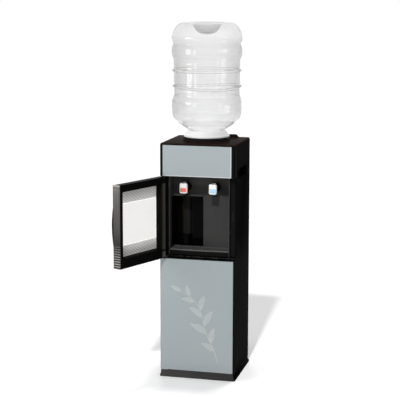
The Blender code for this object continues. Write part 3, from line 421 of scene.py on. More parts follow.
def frame_black_shaded():
    """Gloss black of the front frame, with painted shade: below the upper pane it is deeper on the sill, the
    hinge side and along its inner edges, and it is deeper on faces that look sideways.
    """
    s = Surface("frame_black_shaded", IOR=1.01)
    at = s.xyz()
    ground = s.drifting((0.0075, 0.0073, 0.0075), (0.0088, 0.0086, 0.0088))
    # Painted shade where the frame stands in shade: inner edges, hinge side, sill and sideways faces.
    inner = s.span(s.off(at["X"], 0.0), 1.0, 0.0, STILE_INNER + 0.0030, STILE_INNER + 0.0036)
    hinge_side_shade = s.span(at["X"], 1.0, 0.0, -0.05, 0.0)
    sill = s.span(at["Z"], 1.0, 0.0, 0.4830, 0.4860)
    below = s.span(at["Z"], 1.0, 0.0, UPPER_LOW.z - 0.004, UPPER_LOW.z - 0.001)
    dark = s.maths("MAXIMUM", s.maths("MAXIMUM", inner, hinge_side_shade), sill)
    dark = s.maths("MAXIMUM", s.maths("MULTIPLY", dark, below), s.sideways(0.35, 0.80))
    s.set("Base Color", s.mix(dark, ground, (0.0034, 0.0031, 0.0030)))
    return s.grained(0.20, 0.24, 500.0, 0.000008)


def liner_grey():
    """Grey lining of the alcove, painted a little paler above the taps, as painted light against the shade of
    the head above.
    """
    s = Surface("liner_grey", IOR=1.06)
    low = s.drifting((0.0480, 0.0470, 0.0465), (0.0560, 0.0550, 0.0545))
    # Painted light above the taps.
    painted_light_above_taps = s.span(s.xyz()["Z"], 0.0, 1.0, 0.735, 0.750)
    s.set("Base Color", s.mix(painted_light_above_taps, low, (0.0820, 0.0800, 0.0780)))
    return s.grained(0.32, 0.36, 900.0, 0.00002)


def plinth_black_painted_light():
    """Satin black with painted light: paler along the front, where it leans back under the light, more so to
    the left, and painted shade on faces that look sideways.
    """
    s = Surface("plinth_black_painted_light", IOR=1.012)
    # Painted light on the front, paler to the left, and painted shade on the sides.
    along = s.span(s.xyz()["X"], 0.0, 1.0, -0.15, 0.15)
    front = s.mix(along, (0.054, 0.052, 0.051), (0.037, 0.036, 0.036))
    ground = s.mix(s.sideways(0.45, 0.75), front, (0.0016, 0.0015, 0.0015))
    s.set("Base Color", s.drifting(ground, s.mix(0.12, ground, grey(0.0)), 14.0))
    return s.grained(0.36, 0.42, 900.0, 0.00002)


def tray_black():
    """Drip tray, black, with a painted highlight: a grey band along the top edge of its front."""
    s = Surface("tray_black", IOR=1.05)
    black = s.drifting((0.0065, 0.0062, 0.0062), (0.0085, 0.0082, 0.0082), 14.0)
    # Painted highlight along the top edge of the front.
    lip_highlight = s.span(s.xyz()["Z"], 0.0, 1.0, 0.4985, 0.4995)
    s.set("Base Color", s.mix(lip_highlight, black, (0.118, 0.116, 0.114)))
    return s.grained(0.31, 0.37, 700.0, 0.00001)


def lever_white(back):
    """White plastic in front of the given y, and the black of the arm behind it."""
    s = Surface("lever_white")
    behind = s.span(s.xyz()["Y"], 0.0, 1.0, back - 0.0004, back)
    tone = s.drifting((0.89, 0.89, 0.885), (0.91, 0.91, 0.905), 30.0, 2.0)
    s.set("Base Color", s.mix(behind, tone, (0.008, 0.0078, 0.0076)))
    return s.grained(0.30, 0.35, 700.0, 0.00001)


def ink(name, colour, roughness=0.35):
    """Screen-printed ink, a little uneven."""
    s = Surface(name)
    s.set("Base Color", s.drifting(colour, tuple(min(1.0, c * 1.10) for c in colour), 120.0))
    s.set("Roughness", s.span(s.noise(300.0), roughness * 0.8, roughness * 1.2))
    return s.material


def foam():
    """Dark closed-cell foam."""
    s = Surface("foam")
    cells = s.add("TexVoronoi", {"Vector": s.place, "Scale": 700.0}).outputs["Distance"]
    s.set("Base Color", s.mix(s.span(cells, 0.0, 1.0, 0.0, 0.6), grey(0.06), grey(0.14)))
    s.set("Roughness", s.span(cells, 0.8, 0.95, 0.0, 0.6))
    s.bump(cells, 0.0004)
    return s.material


def water_look():
    """Still water, with a slight pull at its surface."""
    s = Surface("water", Transmission_Weight=1.0, IOR=1.08, Roughness=0.0)
    s.set("Base Color", s.drifting((0.955, 0.958, 0.958), (0.975, 0.978, 0.978), 6.0, 2.0))
    s.bump(s.noise(25.0, 2.0), 0.0003, 0.3)
    return s.material


# One material for each slot of the record
FINISH = {
    "black_gloss": moulded("black_gloss", (0.0135, 0.0122, 0.0118), 0.22, 500.0, 0.000008, IOR=1.03),
    "black_satin": moulded("black_satin", (0.0060, 0.0056, 0.0054), 0.38, IOR=1.04),
    "liner_grey": liner_grey(),
    "side_paint": side_paint(),
    "silver_glass": silver_glass(),
    "window_glass": clear_glass("window_glass", (0.970, 0.970, 0.968), 1.05),
    "edge_silver": door_edge_look(),
    "white_plastic": moulded("white_plastic", (0.79, 0.79, 0.785), 0.32, 700.0, 0.00001, 0.02, 0.0),
    "grey_plastic": moulded("grey_plastic", (0.30, 0.31, 0.32), 0.48),
    "foam": foam(),
    "tube_silicone": moulded("tube_silicone", (0.66, 0.66, 0.63), 0.40, 300.0, 0.00002, 0.05, 0.0),
    "red_plastic": moulded("red_plastic", (0.55, 0.03, 0.02), 0.32, 600.0, 0.00001, 0.08),
    "green_plastic": moulded("green_plastic", (0.03, 0.34, 0.08), 0.32, 600.0, 0.00001, 0.08),
    "steel": brushed("steel", (0.50, 0.50, 0.51), 0.30, (1.0, 1.0, 0.1)),
    "stainless": brushed("stainless", (0.60, 0.60, 0.61), 0.24, (1.0, 1.0, 0.08)),
    "aluminium": brushed("aluminium", (0.66, 0.66, 0.68), 0.34, (0.1, 1.0, 1.0)),
    "bottle_clear": clear_plastic(),
}

# Nodes whose look differs from their slot's, and the looks of pieces drawn here
# The lid's wide edge mask paints a paler line along its rolled edge, partly worn and partly a painted
# highlight.
LID = moulded("lid_black", (0.0152, 0.0092, 0.0070), 0.26, 500.0, 0.00001, edge=0.003, IOR=1.012)
HINGE_GREY = moulded("hinge_grey", (0.085, 0.083, 0.078), 0.35, 700.0, 0.00001, Metallic=0.3)
TRAY_GREY = moulded("tray_grey", (0.080, 0.078, 0.076), 0.34, 700.0, 0.00001, IOR=1.05)
RED_LABEL = ink("red_label", (0.83, 0.19, 0.14))
BLUE_LABEL = ink("blue_label", (0.42, 0.66, 0.82))
OWN_LOOK = {
    "tap_door_frame": door_black(),
    "niche_liner": niche_black(),
    "door_magnet": FINISH["black_gloss"],
    "upper_hinge": HINGE_GREY,
    "middle_hinge": HINGE_GREY,
    "front_frame": frame_black_shaded(),
    "base_plinth": plinth_black_painted_light(),
    "drip_tray": tray_black(),
    "back_panel": moulded("back_black", (0.026, 0.025, 0.025), 0.42, 700.0, IOR=1.2),
    "storage_door_frame": moulded("door_frame_black", (0.0042, 0.0040, 0.0039), 0.30, IOR=1.01),
    # The grip is painted near-black as painted shade, where it curves away from the light.
    "tap_door_grip": moulded("grip_painted_shade", (0.0040, 0.0038, 0.0036), 0.55, wear_and_edge_highlight=0.0, IOR=1.01),
}


def paint(obj, material):
    """Give the object this one material."""
    obj.data.materials.clear()
    obj.data.materials.append(material)


def finish_mesh(name, bm, crease=35.0):
    """The mesh of bm, smooth but for its edges that turn by more than the crease, in degrees."""
    bmesh.ops.recalc_face_normals(bm, faces=bm.faces[:])
    mesh = bpy.data.meshes.new(name)
    bm.to_mesh(mesh)
    bm.free()
    mesh.shade_smooth()
    mesh.set_sharp_from_angle(angle=math.radians(crease))
    return mesh


def piece(name, bm, like, slot=None, replaces=(), look=None, crease=35.0):
    """A new piece, drawn in bm, that rides the body of the CAD node it is like."""
    obj = bpy.data.objects.new(name, finish_mesh(name, bm, crease))
    bpy.context.scene.collection.objects.link(obj)
    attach(obj, body_of(NODES[like])[0])
    slot = slot or SLOT_OF[like]
    paint(obj, look or FINISH[slot])
    if replaces:
        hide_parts(*replaces)
    return obj


def soften(node, width):
    """The CAD node again with its edges rounded, in the node's place."""
    sharp, flat, doubled = 32.0, 0.8, 2e-6
    bm = bmesh.new()
    bm.from_mesh(NODES[node].data)
    bmesh.ops.remove_doubles(bm, verts=bm.verts[:], dist=doubled)
    bmesh.ops.dissolve_limit(bm, angle_limit=math.radians(flat), verts=bm.verts[:], edges=bm.edges[:])
    obj = piece(f"{node}_soft", bm, node, replaces=(node,), look=OWN_LOOK.get(node), crease=sharp)
    bevel = obj.modifiers.new("edge", "BEVEL")
    bevel.width = width
    bevel.segments = 2
    bevel.limit_method = "ANGLE"
    bevel.angle_limit = math.radians(sharp)
    bevel.harden_normals = True
    return obj


def curve_through(points, per_span):
    """Points on a smooth curve through the given pairs."""
    ends = [points[0]] + list(points) + [points[-1]]
    out = []
    for a, b, c, d in zip(ends, ends[1:], ends[2:], ends[3:]):
        for k in range(per_span):
            t = k / per_span
            out.append(tuple(0.5 * (2 * q + (r - p) * t + (2 * p - 5 * q + 4 * r - s) * t ** 2
                                    + (3 * q - p - 3 * r + s) * t ** 3)
                             for p, q, r, s in zip(a, b, c, d)))
    out.append(tuple(points[-1]))
    return out


def revolve(outline, centre, axis="Z", steps=96, shape=None):
    """A bmesh of an outline of (radius, height) spun round an axis; shape may move each point."""
    bm = bmesh.new()
    turn = {"Z": Matrix.Identity(3), "Y": Matrix.Rotation(-math.pi / 2, 3, "X")}[axis]
    rings = []
    for radius, height in outline:
        count = steps if radius > 1e-7 else 1
        ring = []
        for k in range(count):
            angle = math.tau * k / steps
            r, h = shape(radius, height, angle) if shape else (radius, height)
            spot = Vector((r * math.cos(angle), r * math.sin(angle), h))
            ring.append(bm.verts.new(Vector(centre) + turn @ spot))
        rings.append(ring)
    closed = len(rings[0]) > 1
    for low, high in zip(rings, rings[1:] + (rings[:1] if closed else [])):
        for k in range(steps):
            n = (k + 1) % steps
            corners = [low[k % len(low)], low[n % len(low)], high[n % len(high)], high[k % len(high)]]
            unique = list(dict.fromkeys(corners))
            if len(unique) > 2:
                bm.faces.new(unique)
    return bm


def rounded_ring(x, y, radius, steps):
    """Points round a rectangle with round corners, from its spans along x and y."""
    points = []
    corners = ((x[1], y[1], 0, -1, -1), (x[0], y[1], 90, 1, -1), (x[0], y[0], 180, 1, 1),
               (x[1], y[0], 270, -1, 1))
    for cx, cy, start, sx, sy in corners:
        for k in range(steps + 1):
            angle = math.radians(start + 90 * k / steps)
            points.append((cx + radius * (sx + math.cos(angle)), cy + radius * (sy + math.sin(angle))))
    return points


def loft(rings, bm=None):
    """A closed body through rings of points, each ring of the same count, capped at both ends."""
    bm = bm or bmesh.new()
    loops = [[bm.verts.new(point) for point in ring] for ring in rings]
    count = len(loops[0])
    for low, high in zip(loops, loops[1:]):
        for k in range(count):
            n = (k + 1) % count
            bm.faces.new((low[k], low[n], high[n], high[k]))
    bm.faces.new(loops[0])
    bm.faces.new(loops[-1])
    return bm


def slab(x, y, z, soft=0.0):
    """A block between pairs of x, y and z, with its upright and level edges drawn in if soft."""
    rings = []
    for level, inset in ((z[0], soft), (z[0] + soft, 0.0), (z[1] - soft, 0.0), (z[1], soft)):
        ring = rounded_ring((x[0] + inset, x[1] - inset), (y[0] + inset, y[1] - inset), max(soft, 1e-5), 2)
        rings.append([(a, b, level) for a, b in ring])
    if not soft:
        rings = [rings[0], rings[-1]]
    return loft(rings)


def carve(obj, operation, bm):
    """Cut the tool that bm draws from the object, or join the two, at once."""
    bmesh.ops.recalc_face_normals(bm, faces=bm.faces[:])
    tool_mesh = bpy.data.meshes.new("tool")
    bm.to_mesh(tool_mesh)
    bm.free()
    tool = bpy.data.objects.new("tool", tool_mesh)
    bpy.context.scene.collection.objects.link(tool)
    modifier = obj.modifiers.new("tool", "BOOLEAN")
    modifier.operation = operation
    modifier.solver = "EXACT"
    modifier.object = tool
    graph = bpy.context.evaluated_depsgraph_get()
    mesh = bpy.data.meshes.new_from_object(obj.evaluated_get(graph))
    obj.modifiers.clear()
    obj.data = mesh
    bpy.data.objects.remove(tool, do_unlink=True)
    mesh.shade_smooth()
    mesh.set_sharp_from_angle(angle=math.radians(35.0))


def swing(bm):
    """Turn what was drawn with the tap door shut to where the door rests, open."""
    turn = Matrix.Translation(HINGE) @ Matrix.Rotation(-DOOR_OPEN, 4, "Z") @ Matrix.Translation(-HINGE)
    bmesh.ops.transform(bm, matrix=turn, verts=bm.verts[:])
    return bm


def by_ray(tree, diffuse, shown):
    """Strength for light that falls on the object, and for what is seen directly, off or through it."""
    path = add_node(tree, "LightPath").outputs
    first = add_node(tree, "Math", {0: path["Diffuse Depth"], 1: 0.5}, operation="LESS_THAN").outputs[0]
    total = path["Is Camera Ray"]
    for other in ("Is Glossy Ray", "Is Transmission Ray"):
        total = add_node(tree, "Math", {0: total, 1: path[other]}, operation="MAXIMUM").outputs[0]
    direct = add_node(tree, "Math", {0: total, 1: first}, operation="MULTIPLY").outputs[0]
    return add_node(tree, "MapRange", {"Value": direct, "To Min": diffuse, "To Max": shown}).outputs[0]


def lamp_and_light(name, kind, energy):
    """A new lamp in the scene, and the light that it holds."""
    light = bpy.data.lights.new(name, kind)
    light.energy = energy
    lamp = bpy.data.objects.new(name, light)
    bpy.context.scene.collection.objects.link(lamp)
    return lamp, light


def softbox(name, azimuth, elevation, distance, size, power, aim_z, mirrored=True):
    """Rectangular lamp turned to a height on the object's axis; it shows in gloss if mirrored."""
    lamp, light = lamp_and_light(name, "AREA", power)
    light.shape = "RECTANGLE"
    light.size, light.size_y = size
    a, e = math.radians(azimuth), math.radians(elevation)
    back = Vector((math.sin(a) * math.cos(e), -math.cos(a) * math.cos(e), math.sin(e)))
    lamp.location = Vector((0.0, 0.0, aim_z)) + back * distance
    lamp.rotation_euler = back.to_track_quat("Z", "Y").to_euler()
    lamp.visible_camera = False
    lamp.visible_glossy = lamp.visible_transmission = mirrored


def make_stage():
    """Pale floor, white surroundings, three suns, and four softboxes at the left of the front."""
    scene = bpy.context.scene
    scene.view_settings.view_transform = "Standard"

    world_light, world_shown = 0.18, 1.0
    world = bpy.data.worlds.new("studio")
    scene.world = world
    world.use_nodes = True
    tree = world.node_tree
    background = tree.nodes["Background"]
    background.inputs["Color"].default_value = (1.0, 1.0, 1.0, 1.0)
    tree.links.new(by_ray(tree, world_light, world_shown), background.inputs["Strength"])

    floor_light, floor_shown, reach = 0.85, 1.135, 14.0
    bm = bmesh.new()
    bmesh.ops.create_grid(bm, x_segments=8, y_segments=8, size=reach)
    floor = bpy.data.objects.new("floor", finish_mesh("floor", bm))
    scene.collection.objects.link(floor)
    material = bpy.data.materials.new("floor")
    material.use_nodes = True
    tree = material.node_tree
    tree.nodes.remove(tree.nodes["Principled BSDF"])
    diffuse = add_node(tree, "BsdfDiffuse", {"Color": by_ray(tree, floor_light, floor_shown)})
    tree.links.new(diffuse.outputs[0], tree.nodes["Material Output"].inputs["Surface"])
    floor.data.materials.append(material)

    # Name, energy, then the spread, the tilt from overhead and the turn, in degrees
    suns = (("key", 1.72, 3.0, 49.8, 3.0), ("overhead_left", 0.92, 7.0, -10.5, -17.0),
            ("overhead_right", 0.32, 5.0, -15.0, 19.0))
    for name, energy, spread, tilt, turn in suns:
        lamp, sun = lamp_and_light(name, "SUN", energy)
        sun.angle = math.radians(spread)
        lamp.rotation_euler = (math.radians(tilt), 0.0, math.radians(turn))
        lamp.visible_glossy = lamp.visible_transmission = False
    # Name, azimuth, elevation, distance, size, power and the height it is turned to
    softbox("side_box", -49.0, 0.0, 3.4, (1.20, 1.15), 13.8, 1.42)
    softbox("side_fill", -49.0, 0.0, 3.4, (1.20, 2.6), 24.0, 1.35, mirrored=False)
    softbox("front_box", -27.0, 2.0, 3.6, (0.60, 1.30), 4.4, 1.20)
    softbox("fill_box", -22.0, 3.0, 3.6, (1.00, 2.2), 4.0, 1.10, mirrored=False)


def make_camera():
    """The camera that was fitted to the edges in the photograph."""
    data = bpy.data.cameras.new("camera")
    data.lens = CAMERA_LENS
    data.sensor_width = SENSOR
    camera = bpy.data.objects.new("camera", data)
    bpy.context.scene.collection.objects.link(camera)
    forward = Vector((-math.sin(CAMERA_AZIMUTH) * math.cos(CAMERA_PITCH),
                      math.cos(CAMERA_AZIMUTH) * math.cos(CAMERA_PITCH), -math.sin(CAMERA_PITCH)))
    right = Vector((math.cos(CAMERA_AZIMUTH), math.sin(CAMERA_AZIMUTH), 0.0))
    up = right.cross(forward)
    rolled_right = right * math.cos(CAMERA_ROLL) + up * math.sin(CAMERA_ROLL)
    rolled_up = up * math.cos(CAMERA_ROLL) - right * math.sin(CAMERA_ROLL)
    turn = Matrix((rolled_right, rolled_up, -forward)).transposed()
    camera.matrix_world = Matrix.Translation(CAMERA_AT) @ turn.to_4x4()
    bpy.context.scene.camera = camera


def bottle_outlines():
    """Outer and inner outline of the bottle, upside down, from the dished base on top to the mouth."""
    z = BOTTLE_TOP
    base = [(0.0, z - 0.0450), (0.0150, z - 0.0438), (0.0300, z - 0.0388), (0.0420, z - 0.0284),
            (0.0510, z - 0.0156), (0.0575, z - 0.0055), (0.0655, z - 0.0006), (0.0780, z - 0.0004),
            (0.0920, z - 0.0012), (0.1080, z - 0.0072), (0.1210, z - 0.0190), (0.1300, z - 0.0360)]
    wall = [(0.1350, 1.3090), (0.1340, 1.2970), (0.1290, 1.2840), (0.1335, 1.2710), (0.1350, 1.2600),
            (0.1350, 1.2460), (0.1335, 1.2360), (0.1282, 1.2250), (0.1270, 1.2050), (0.1266, 1.1900),
            (0.1264, 1.1600), (0.1262, 1.1300), (0.1262, 1.1000), (0.1268, 1.0880), (0.1318, 1.0740),
            (0.1335, 1.0640), (0.1338, 1.0480)]
    shoulder = [(0.1335, 1.0300), (0.1320, 1.0120), (0.1270, 0.9990), (0.1165, 0.9882), (0.1040, 0.9765),
                (0.0860, 0.9652), (0.0690, 0.9543), (0.0590, 0.9482), (0.0500, 0.9442), (0.0380, 0.9386),
                (0.0300, 0.9335)]
    neck = [(0.0280, 0.9250), (0.0280, 0.9000), (0.0280, MOUTH)]
    relief_low, relief_high = 1.02, 1.20
    outer = []
    coarse = curve_through(base + wall + shoulder + neck, 5)
    for (r, h), (next_r, next_h) in zip(coarse, coarse[1:]):
        fine = 5 if relief_low < h < relief_high else 1
        for k in range(fine):
            outer.append((r + (next_r - r) * k / fine, h + (next_h - h) * k / fine))
    outer.append(coarse[-1])
    inner = []
    for before, (r, h), after in zip(outer[:1] + outer, outer, outer[1:] + outer[-1:]):
        run = Vector((after[0] - before[0], after[1] - before[1])).normalized()
        inner.append((max(r + run.y * WALL, 0.0), h - run.x * WALL))
    inner[0] = (0.0, inner[0][1])
    inner[-1] = (outer[-1][0] - WALL, MOUTH)
    return outer, inner


def bottle_relief(r, h, angle):
    """Two raised bands on the waist, the lower one wavy, and thin slanting ridges below them."""
    if not 1.0 < h < 1.22:
        return r, h
    wavy = 1.1185 + 0.0045 * math.sin(angle * 2.0 + 0.6)
    relief = 0.0
    for middle, half, rise in ((1.1820, 0.0052, 0.0064), (wavy, 0.0046, 0.0066)):
        off = (h - middle) / half
        if abs(off) < 1.0:
            relief += rise * math.sqrt(1.0 - off * off)
    ridges, ridge_rise, ridge_half = 6.0, 0.0017, 0.0016
    phase = (angle * ridges / math.tau) % 1.0
    ridge = 1.0340 + 0.0330 * phase
    fade = math.sin(math.pi * phase) ** 0.6
    relief += ridge_rise * fade * math.exp(-((h - ridge) / ridge_half) ** 2)
    return r + relief, h


def bottle():
    """Blown bottle and the water that is left in it, round the feed probe."""
    outer, inner = bottle_outlines()
    bm = revolve(outer + inner[::-1], SEAT_AXIS, steps=128, shape=bottle_relief)
    blown = piece("bottle_blown", bm, "bottle", replaces=("bottle",), crease=60.0)

    level, bottom, probe, overlap = 1.086, MOUTH + 0.0015, 0.0068, 0.0003
    probe_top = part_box("feed_probe")[1].z
    below = [(r + overlap, h) for r, h in inner if bottom < h < level]
    edge = (below[0][0], level)
    outline = [(0.0, level), (edge[0] - 0.002, level), edge] + below
    outline += [(below[-1][0], bottom), (probe, bottom), (probe, probe_top - 0.006),
                (probe - 0.002, probe_top + 0.0005), (0.0, probe_top + 0.001)]
    bm = revolve(outline, SEAT_AXIS, steps=128, shape=bottle_relief)
    water = piece("water", bm, "bottle", look=water_look())
    for clear in (blown, water):
        clear.visible_shadow = False


def seat_parts():
    """White seat ring and its black collar, turned finely."""
    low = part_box("bottle_seat")[0].z
    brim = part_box("seat_collar")[1].z + 0.0003
    outline = [(0.0068, low), (0.0385, low), (0.0395, low + 0.001), (0.0395, 0.9140), (0.0740, 0.9250),
               (0.0740, brim), (0.0875, brim), (0.0884, brim + 0.0006), (0.0885, brim + 0.0016),
               (0.0885, 0.9330), (0.0880, 0.9343), (0.0866, 0.9352), (0.0838, 0.9372), (0.0806, 0.9417),
               (0.0780, 0.9462), (0.0750, 0.9500), (0.0732, 0.9520), (0.0715, 0.9528), (0.0695, 0.9529),
               (0.0680, 0.9525), (0.0590, 0.9472), (0.0500, 0.9432), (0.0400, 0.9384), (0.0372, 0.9366),
               (0.0365, 0.9345), (0.0365, low + 0.004), (0.0355, low + 0.003), (0.0068, low + 0.003)]
    piece("seat_ring", revolve(outline, SEAT_AXIS), "bottle_seat", replaces=("bottle_seat",), crease=38.0)
    low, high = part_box("seat_collar")[0].z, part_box("seat_collar")[1].z
    inner, outer = 0.0775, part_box("seat_collar")[1].x
    outline = [(inner, low), (outer - 0.0004, low), (outer, low + 0.0004), (outer - 0.0008, low + 0.0035),
               (outer - 0.0016, high - 0.0010), (outer - 0.0026, high), (0.0779, high),
               (inner, high - 0.0004)]
    collar = revolve(outline, SEAT_AXIS)
    piece("seat_collar_turned", collar, "seat_collar", replaces=("seat_collar",), crease=38.0)


def top_cover():
    """Lid with a rolled edge, the hole for the bottle seat, and the raised ridge at its rear."""
    low, high = COVER_LOW.z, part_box("seat_collar")[0].z - 0.0003
    x, y = (COVER_LOW.x, COVER_HIGH.x), (COVER_LOW.y, COVER_HIGH.y)
    roll, corner, steps = 0.0036, 0.009, 6
    sections = [(low, 0.0005), (low + 0.0005, 0.0)]
    for k in range(steps + 1):
        angle = math.pi / 2 * k / steps
        sections.append((high - roll * (1 - math.sin(angle)), roll * (1 - math.cos(angle))))
    rings = []
    for z, inset in sections:
        ring = rounded_ring((x[0] + inset, x[1] - inset), (y[0] + inset, y[1] - inset), corner - inset, 8)
        rings.append([(a, b, z) for a, b in ring])
    cover = piece("top_cover_rolled", loft(rings), "top_cover", replaces=("top_cover",))
    opening, under, over = 0.0765, 0.90, 0.93
    hole = revolve([(0.0, under), (opening, under), (opening, over), (0.0, over)], SEAT_AXIS)
    carve(cover, "DIFFERENCE", hole)
    paint(cover, LID)

    foot, crest, lean = 0.103, COVER_HIGH.z, 0.0082
    front, back, corner = 0.1240, 0.1365, 0.0035
    rings = []
    for z, inset in ((high - 0.001, 0.0), (crest - 0.0022, lean), (crest - 0.0006, 0.0100), (crest, 0.0120)):
        soft = max(0.0, inset - lean) * 0.5
        ring = rounded_ring((-foot + inset, foot - inset), (front + soft, back - soft), corner - soft, 6)
        rings.append([(a, b, z) for a, b in ring])
    piece("rear_ridge", loft(rings), "top_cover", look=LID)


def lever(name, label):
    """Push lever: a soft white block with a label let into its face, on an arm to the pin."""
    low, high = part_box(f"{name}_lever")
    pin_low, pin_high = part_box(f"{name}_lever_pin")
    pin = (pin_low + pin_high) / 2
    tall, thick, corner = high.z - low.z - 0.0028, 0.018, 0.0042
    left, right = low.x, low.x + 0.0300
    # Share of the height, how far the face leans back there, and how far the sides draw in
    profile = ((0.000, 0.0048, 0.0046), (0.012, 0.0030, 0.0028), (0.040, 0.0014, 0.0012),
               (0.090, 0.0004, 0.0003), (0.250, 0.0000, 0.0000), (0.480, 0.0002, 0.0000),
               (0.560, 0.0008, 0.0000), (0.640, 0.0009, 0.0000), (0.820, 0.0012, 0.0002),
               (0.920, 0.0018, 0.0008), (0.965, 0.0028, 0.0018), (0.990, 0.0042, 0.0034),
               (1.000, 0.0058, 0.0052))
    rings = []
    for share, back, inset in profile:
        span_x = (left + inset, right - inset)
        span_y = (low.y + back, low.y + thick - inset)
        rings.append([(a, b, low.z + share * tall) for a, b in rounded_ring(span_x, span_y, corner, 6)])
    block = piece(f"{name}_push_lever", loft(rings), f"{name}_lever", replaces=(f"{name}_lever",))
    arm_half = 0.0075
    arm = slab((pin.x - arm_half, pin.x + arm_half), (low.y + thick - 0.006, high.y),
               (pin.z - 0.0035, pin.z + 0.0033), soft=0.0008)
    carve(block, "UNION", arm)
    bore_radius, start, end = 0.0019, -0.0002, 0.0302
    bore = revolve([(0.0, start), (bore_radius, start), (bore_radius, end), (0.0, end)], (0, 0, 0), steps=24)
    along_x = Matrix.Translation((pin.x - 0.015, pin.y, pin.z)) @ Matrix.Rotation(math.pi / 2, 4, "Y")
    bmesh.ops.transform(bore, matrix=along_x, verts=bore.verts[:])
    carve(block, "DIFFERENCE", bore)
    paint(block, lever_white(low.y + thick - 0.0034))

    face, label_low, label_high = low.y - 0.0001, 0.7253, 0.7412
    rings = []
    for depth, inset in ((0.0010, 0.0), (0.0002, 0.0), (0.0, 0.0003)):
        span_x = (left + 0.0028 + inset, right - 0.0032 - inset)
        ring = rounded_ring(span_x, (label_low + inset, label_high - inset), 0.0015, 4)
        rings.append([(a, face + depth, b) for a, b in ring])
    piece(f"{name}_label", loft(rings), f"{name}_lever", look=label)


def door_prints():
    """Silver border printed behind the tap door's pane, two hatched bands and a clear film."""
    back = UPPER_HIGH.y
    near = back + 0.00005
    window_x, window_z = (-0.1010, 0.1253), (0.5140, 0.7613)
    border_x, border_z = (-0.1257, 0.1400), (0.4770, 0.7878)
    bm = bmesh.new()
    loops = []
    for y in (near, back + 0.00020):
        for x, z in ((border_x, border_z), (window_x, window_z)):
            corners = ((x[0], z[0]), (x[1], z[0]), (x[1], z[1]), (x[0], z[1]))
            loops.append([bm.verts.new((a, y, b)) for a, b in corners])
    near_out, near_in, far_out, far_in = loops
    for k in range(4):
        n = (k + 1) % 4
        for a, b in ((near_out, near_in), (near_in, far_in), (far_in, far_out), (far_out, near_out)):
            bm.faces.new((a[k], a[n], b[n], b[k]))
    piece("window_border", swing(bm), "tap_door_glass", "silver_glass")

    gap, margin, band_low, band_high = 0.0004, 0.0034, 0.5545, 0.7128
    wide, narrow = [(window_x[0] + drawn_in, window_x[1] - drawn_in) for drawn_in in (gap, margin)]
    hatch = hatched_film()
    tint = clear_glass("window_tint", (0.818, 0.802, 0.784), 1.02)
    films = (("window_band_upper", wide, (band_high, window_z[1] - gap), hatch),
             ("window_band_lower", wide, (window_z[0] + gap, band_low), hatch),
             ("window_tint", narrow, (band_low + margin, band_high - margin), tint))
    for name, x, z, look in films:
        bm = slab(x, (near, back + 0.00025), z)
        film = piece(name, swing(bm), "tap_door_glass", look=look)
        film.visible_shadow = False


def panes():
    """The two silver panes, each set a little inside its frame, with a fine ground edge."""
    # The upper pane's pale rim is a painted highlight as wide as polished.
    upper_in, polished = 0.0024, 0.0036
    upper = silver_glass("upper_silver", z=(UPPER_LOW.z, UPPER_HIGH.z),
                         rim_highlight=(UPPER_HIGH.x - upper_in - polished, UPPER_LOW.z + 0.0034))
    lower = silver_glass("lower_silver", SILVER_TOP, SILVER_FOOT_SHADED, (GLASS_LOW.z, GLASS_HIGH.z),
                         (GLASS_HIGH.x, GLASS_LOW.z), GLASS_LOW.x + 0.0016)
    # Node, how far its pane is drawn in at the left, right and top, and its look
    margins = (("upper_glass", 0.0004, upper_in, 0.0008, upper),
               ("storage_door_glass", 0.0, 0.0034, 0.0032, lower))
    ground_edge = 0.0006
    for node, left, right, top, look in margins:
        low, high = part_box(node)
        rings = []
        for y, inset in ((low.y, ground_edge), (low.y + ground_edge, 0.0), (high.y, 0.0)):
            ring = rounded_ring((low.x + left + inset, high.x - right - inset),
                                (low.z + inset, high.z - top - inset), 0.0015, 4)
            rings.append([(a, y, b) for a, b in ring])
        piece(f"{node}_pane", loft(rings), node, replaces=(node,), look=look, crease=25.0)


def grid_plate():
    """Drip grid: a thin plate with three rows of short slots."""
    low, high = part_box("drip_grid")
    bm = slab((low.x, high.x), (low.y, high.y), (low.z, high.z), soft=0.0004)
    plate = piece("drip_grid_plate", bm, "drip_grid", replaces=("drip_grid",))
    slots, pitch, width, rows, row_pitch, length = 13, 0.016, 0.0095, 3, 0.0150, 0.0105
    middle = (low + high) / 2
    holes = bmesh.new()
    for k in range(slots):
        x = middle.x + (k - (slots - 1) / 2) * pitch
        for n in range(rows):
            y = middle.y + (n - (rows - 1) / 2) * row_pitch
            ring = rounded_ring((x - width / 2, x + width / 2), (y - length / 2, y + length / 2), 0.002, 4)
            loft([[(a, b, z) for a, b in ring] for z in (low.z - 0.001, high.z + 0.001)], holes)
    carve(plate, "DIFFERENCE", holes)
    paint(plate, TRAY_GREY)


def stroke(bm, points, width, face):
    """A printed line of the given width along points of (x, z), as a closed film on the glass."""
    count = len(points)
    back = face + 0.0002
    rows = []
    for k, (x, z) in enumerate(points):
        ahead, behind = points[min(k + 1, count - 1)], points[max(k - 1, 0)]
        run = Vector((ahead[0] - behind[0], ahead[1] - behind[1])).normalized()
        w = width(k / (count - 1)) / 2
        left, right = (x - run.y * w, z + run.x * w), (x + run.y * w, z - run.x * w)
        rows.append([(left[0], face, left[1]), (right[0], face, right[1]),
                     (right[0], back, right[1]), (left[0], back, left[1])])
    loft(rows, bm)


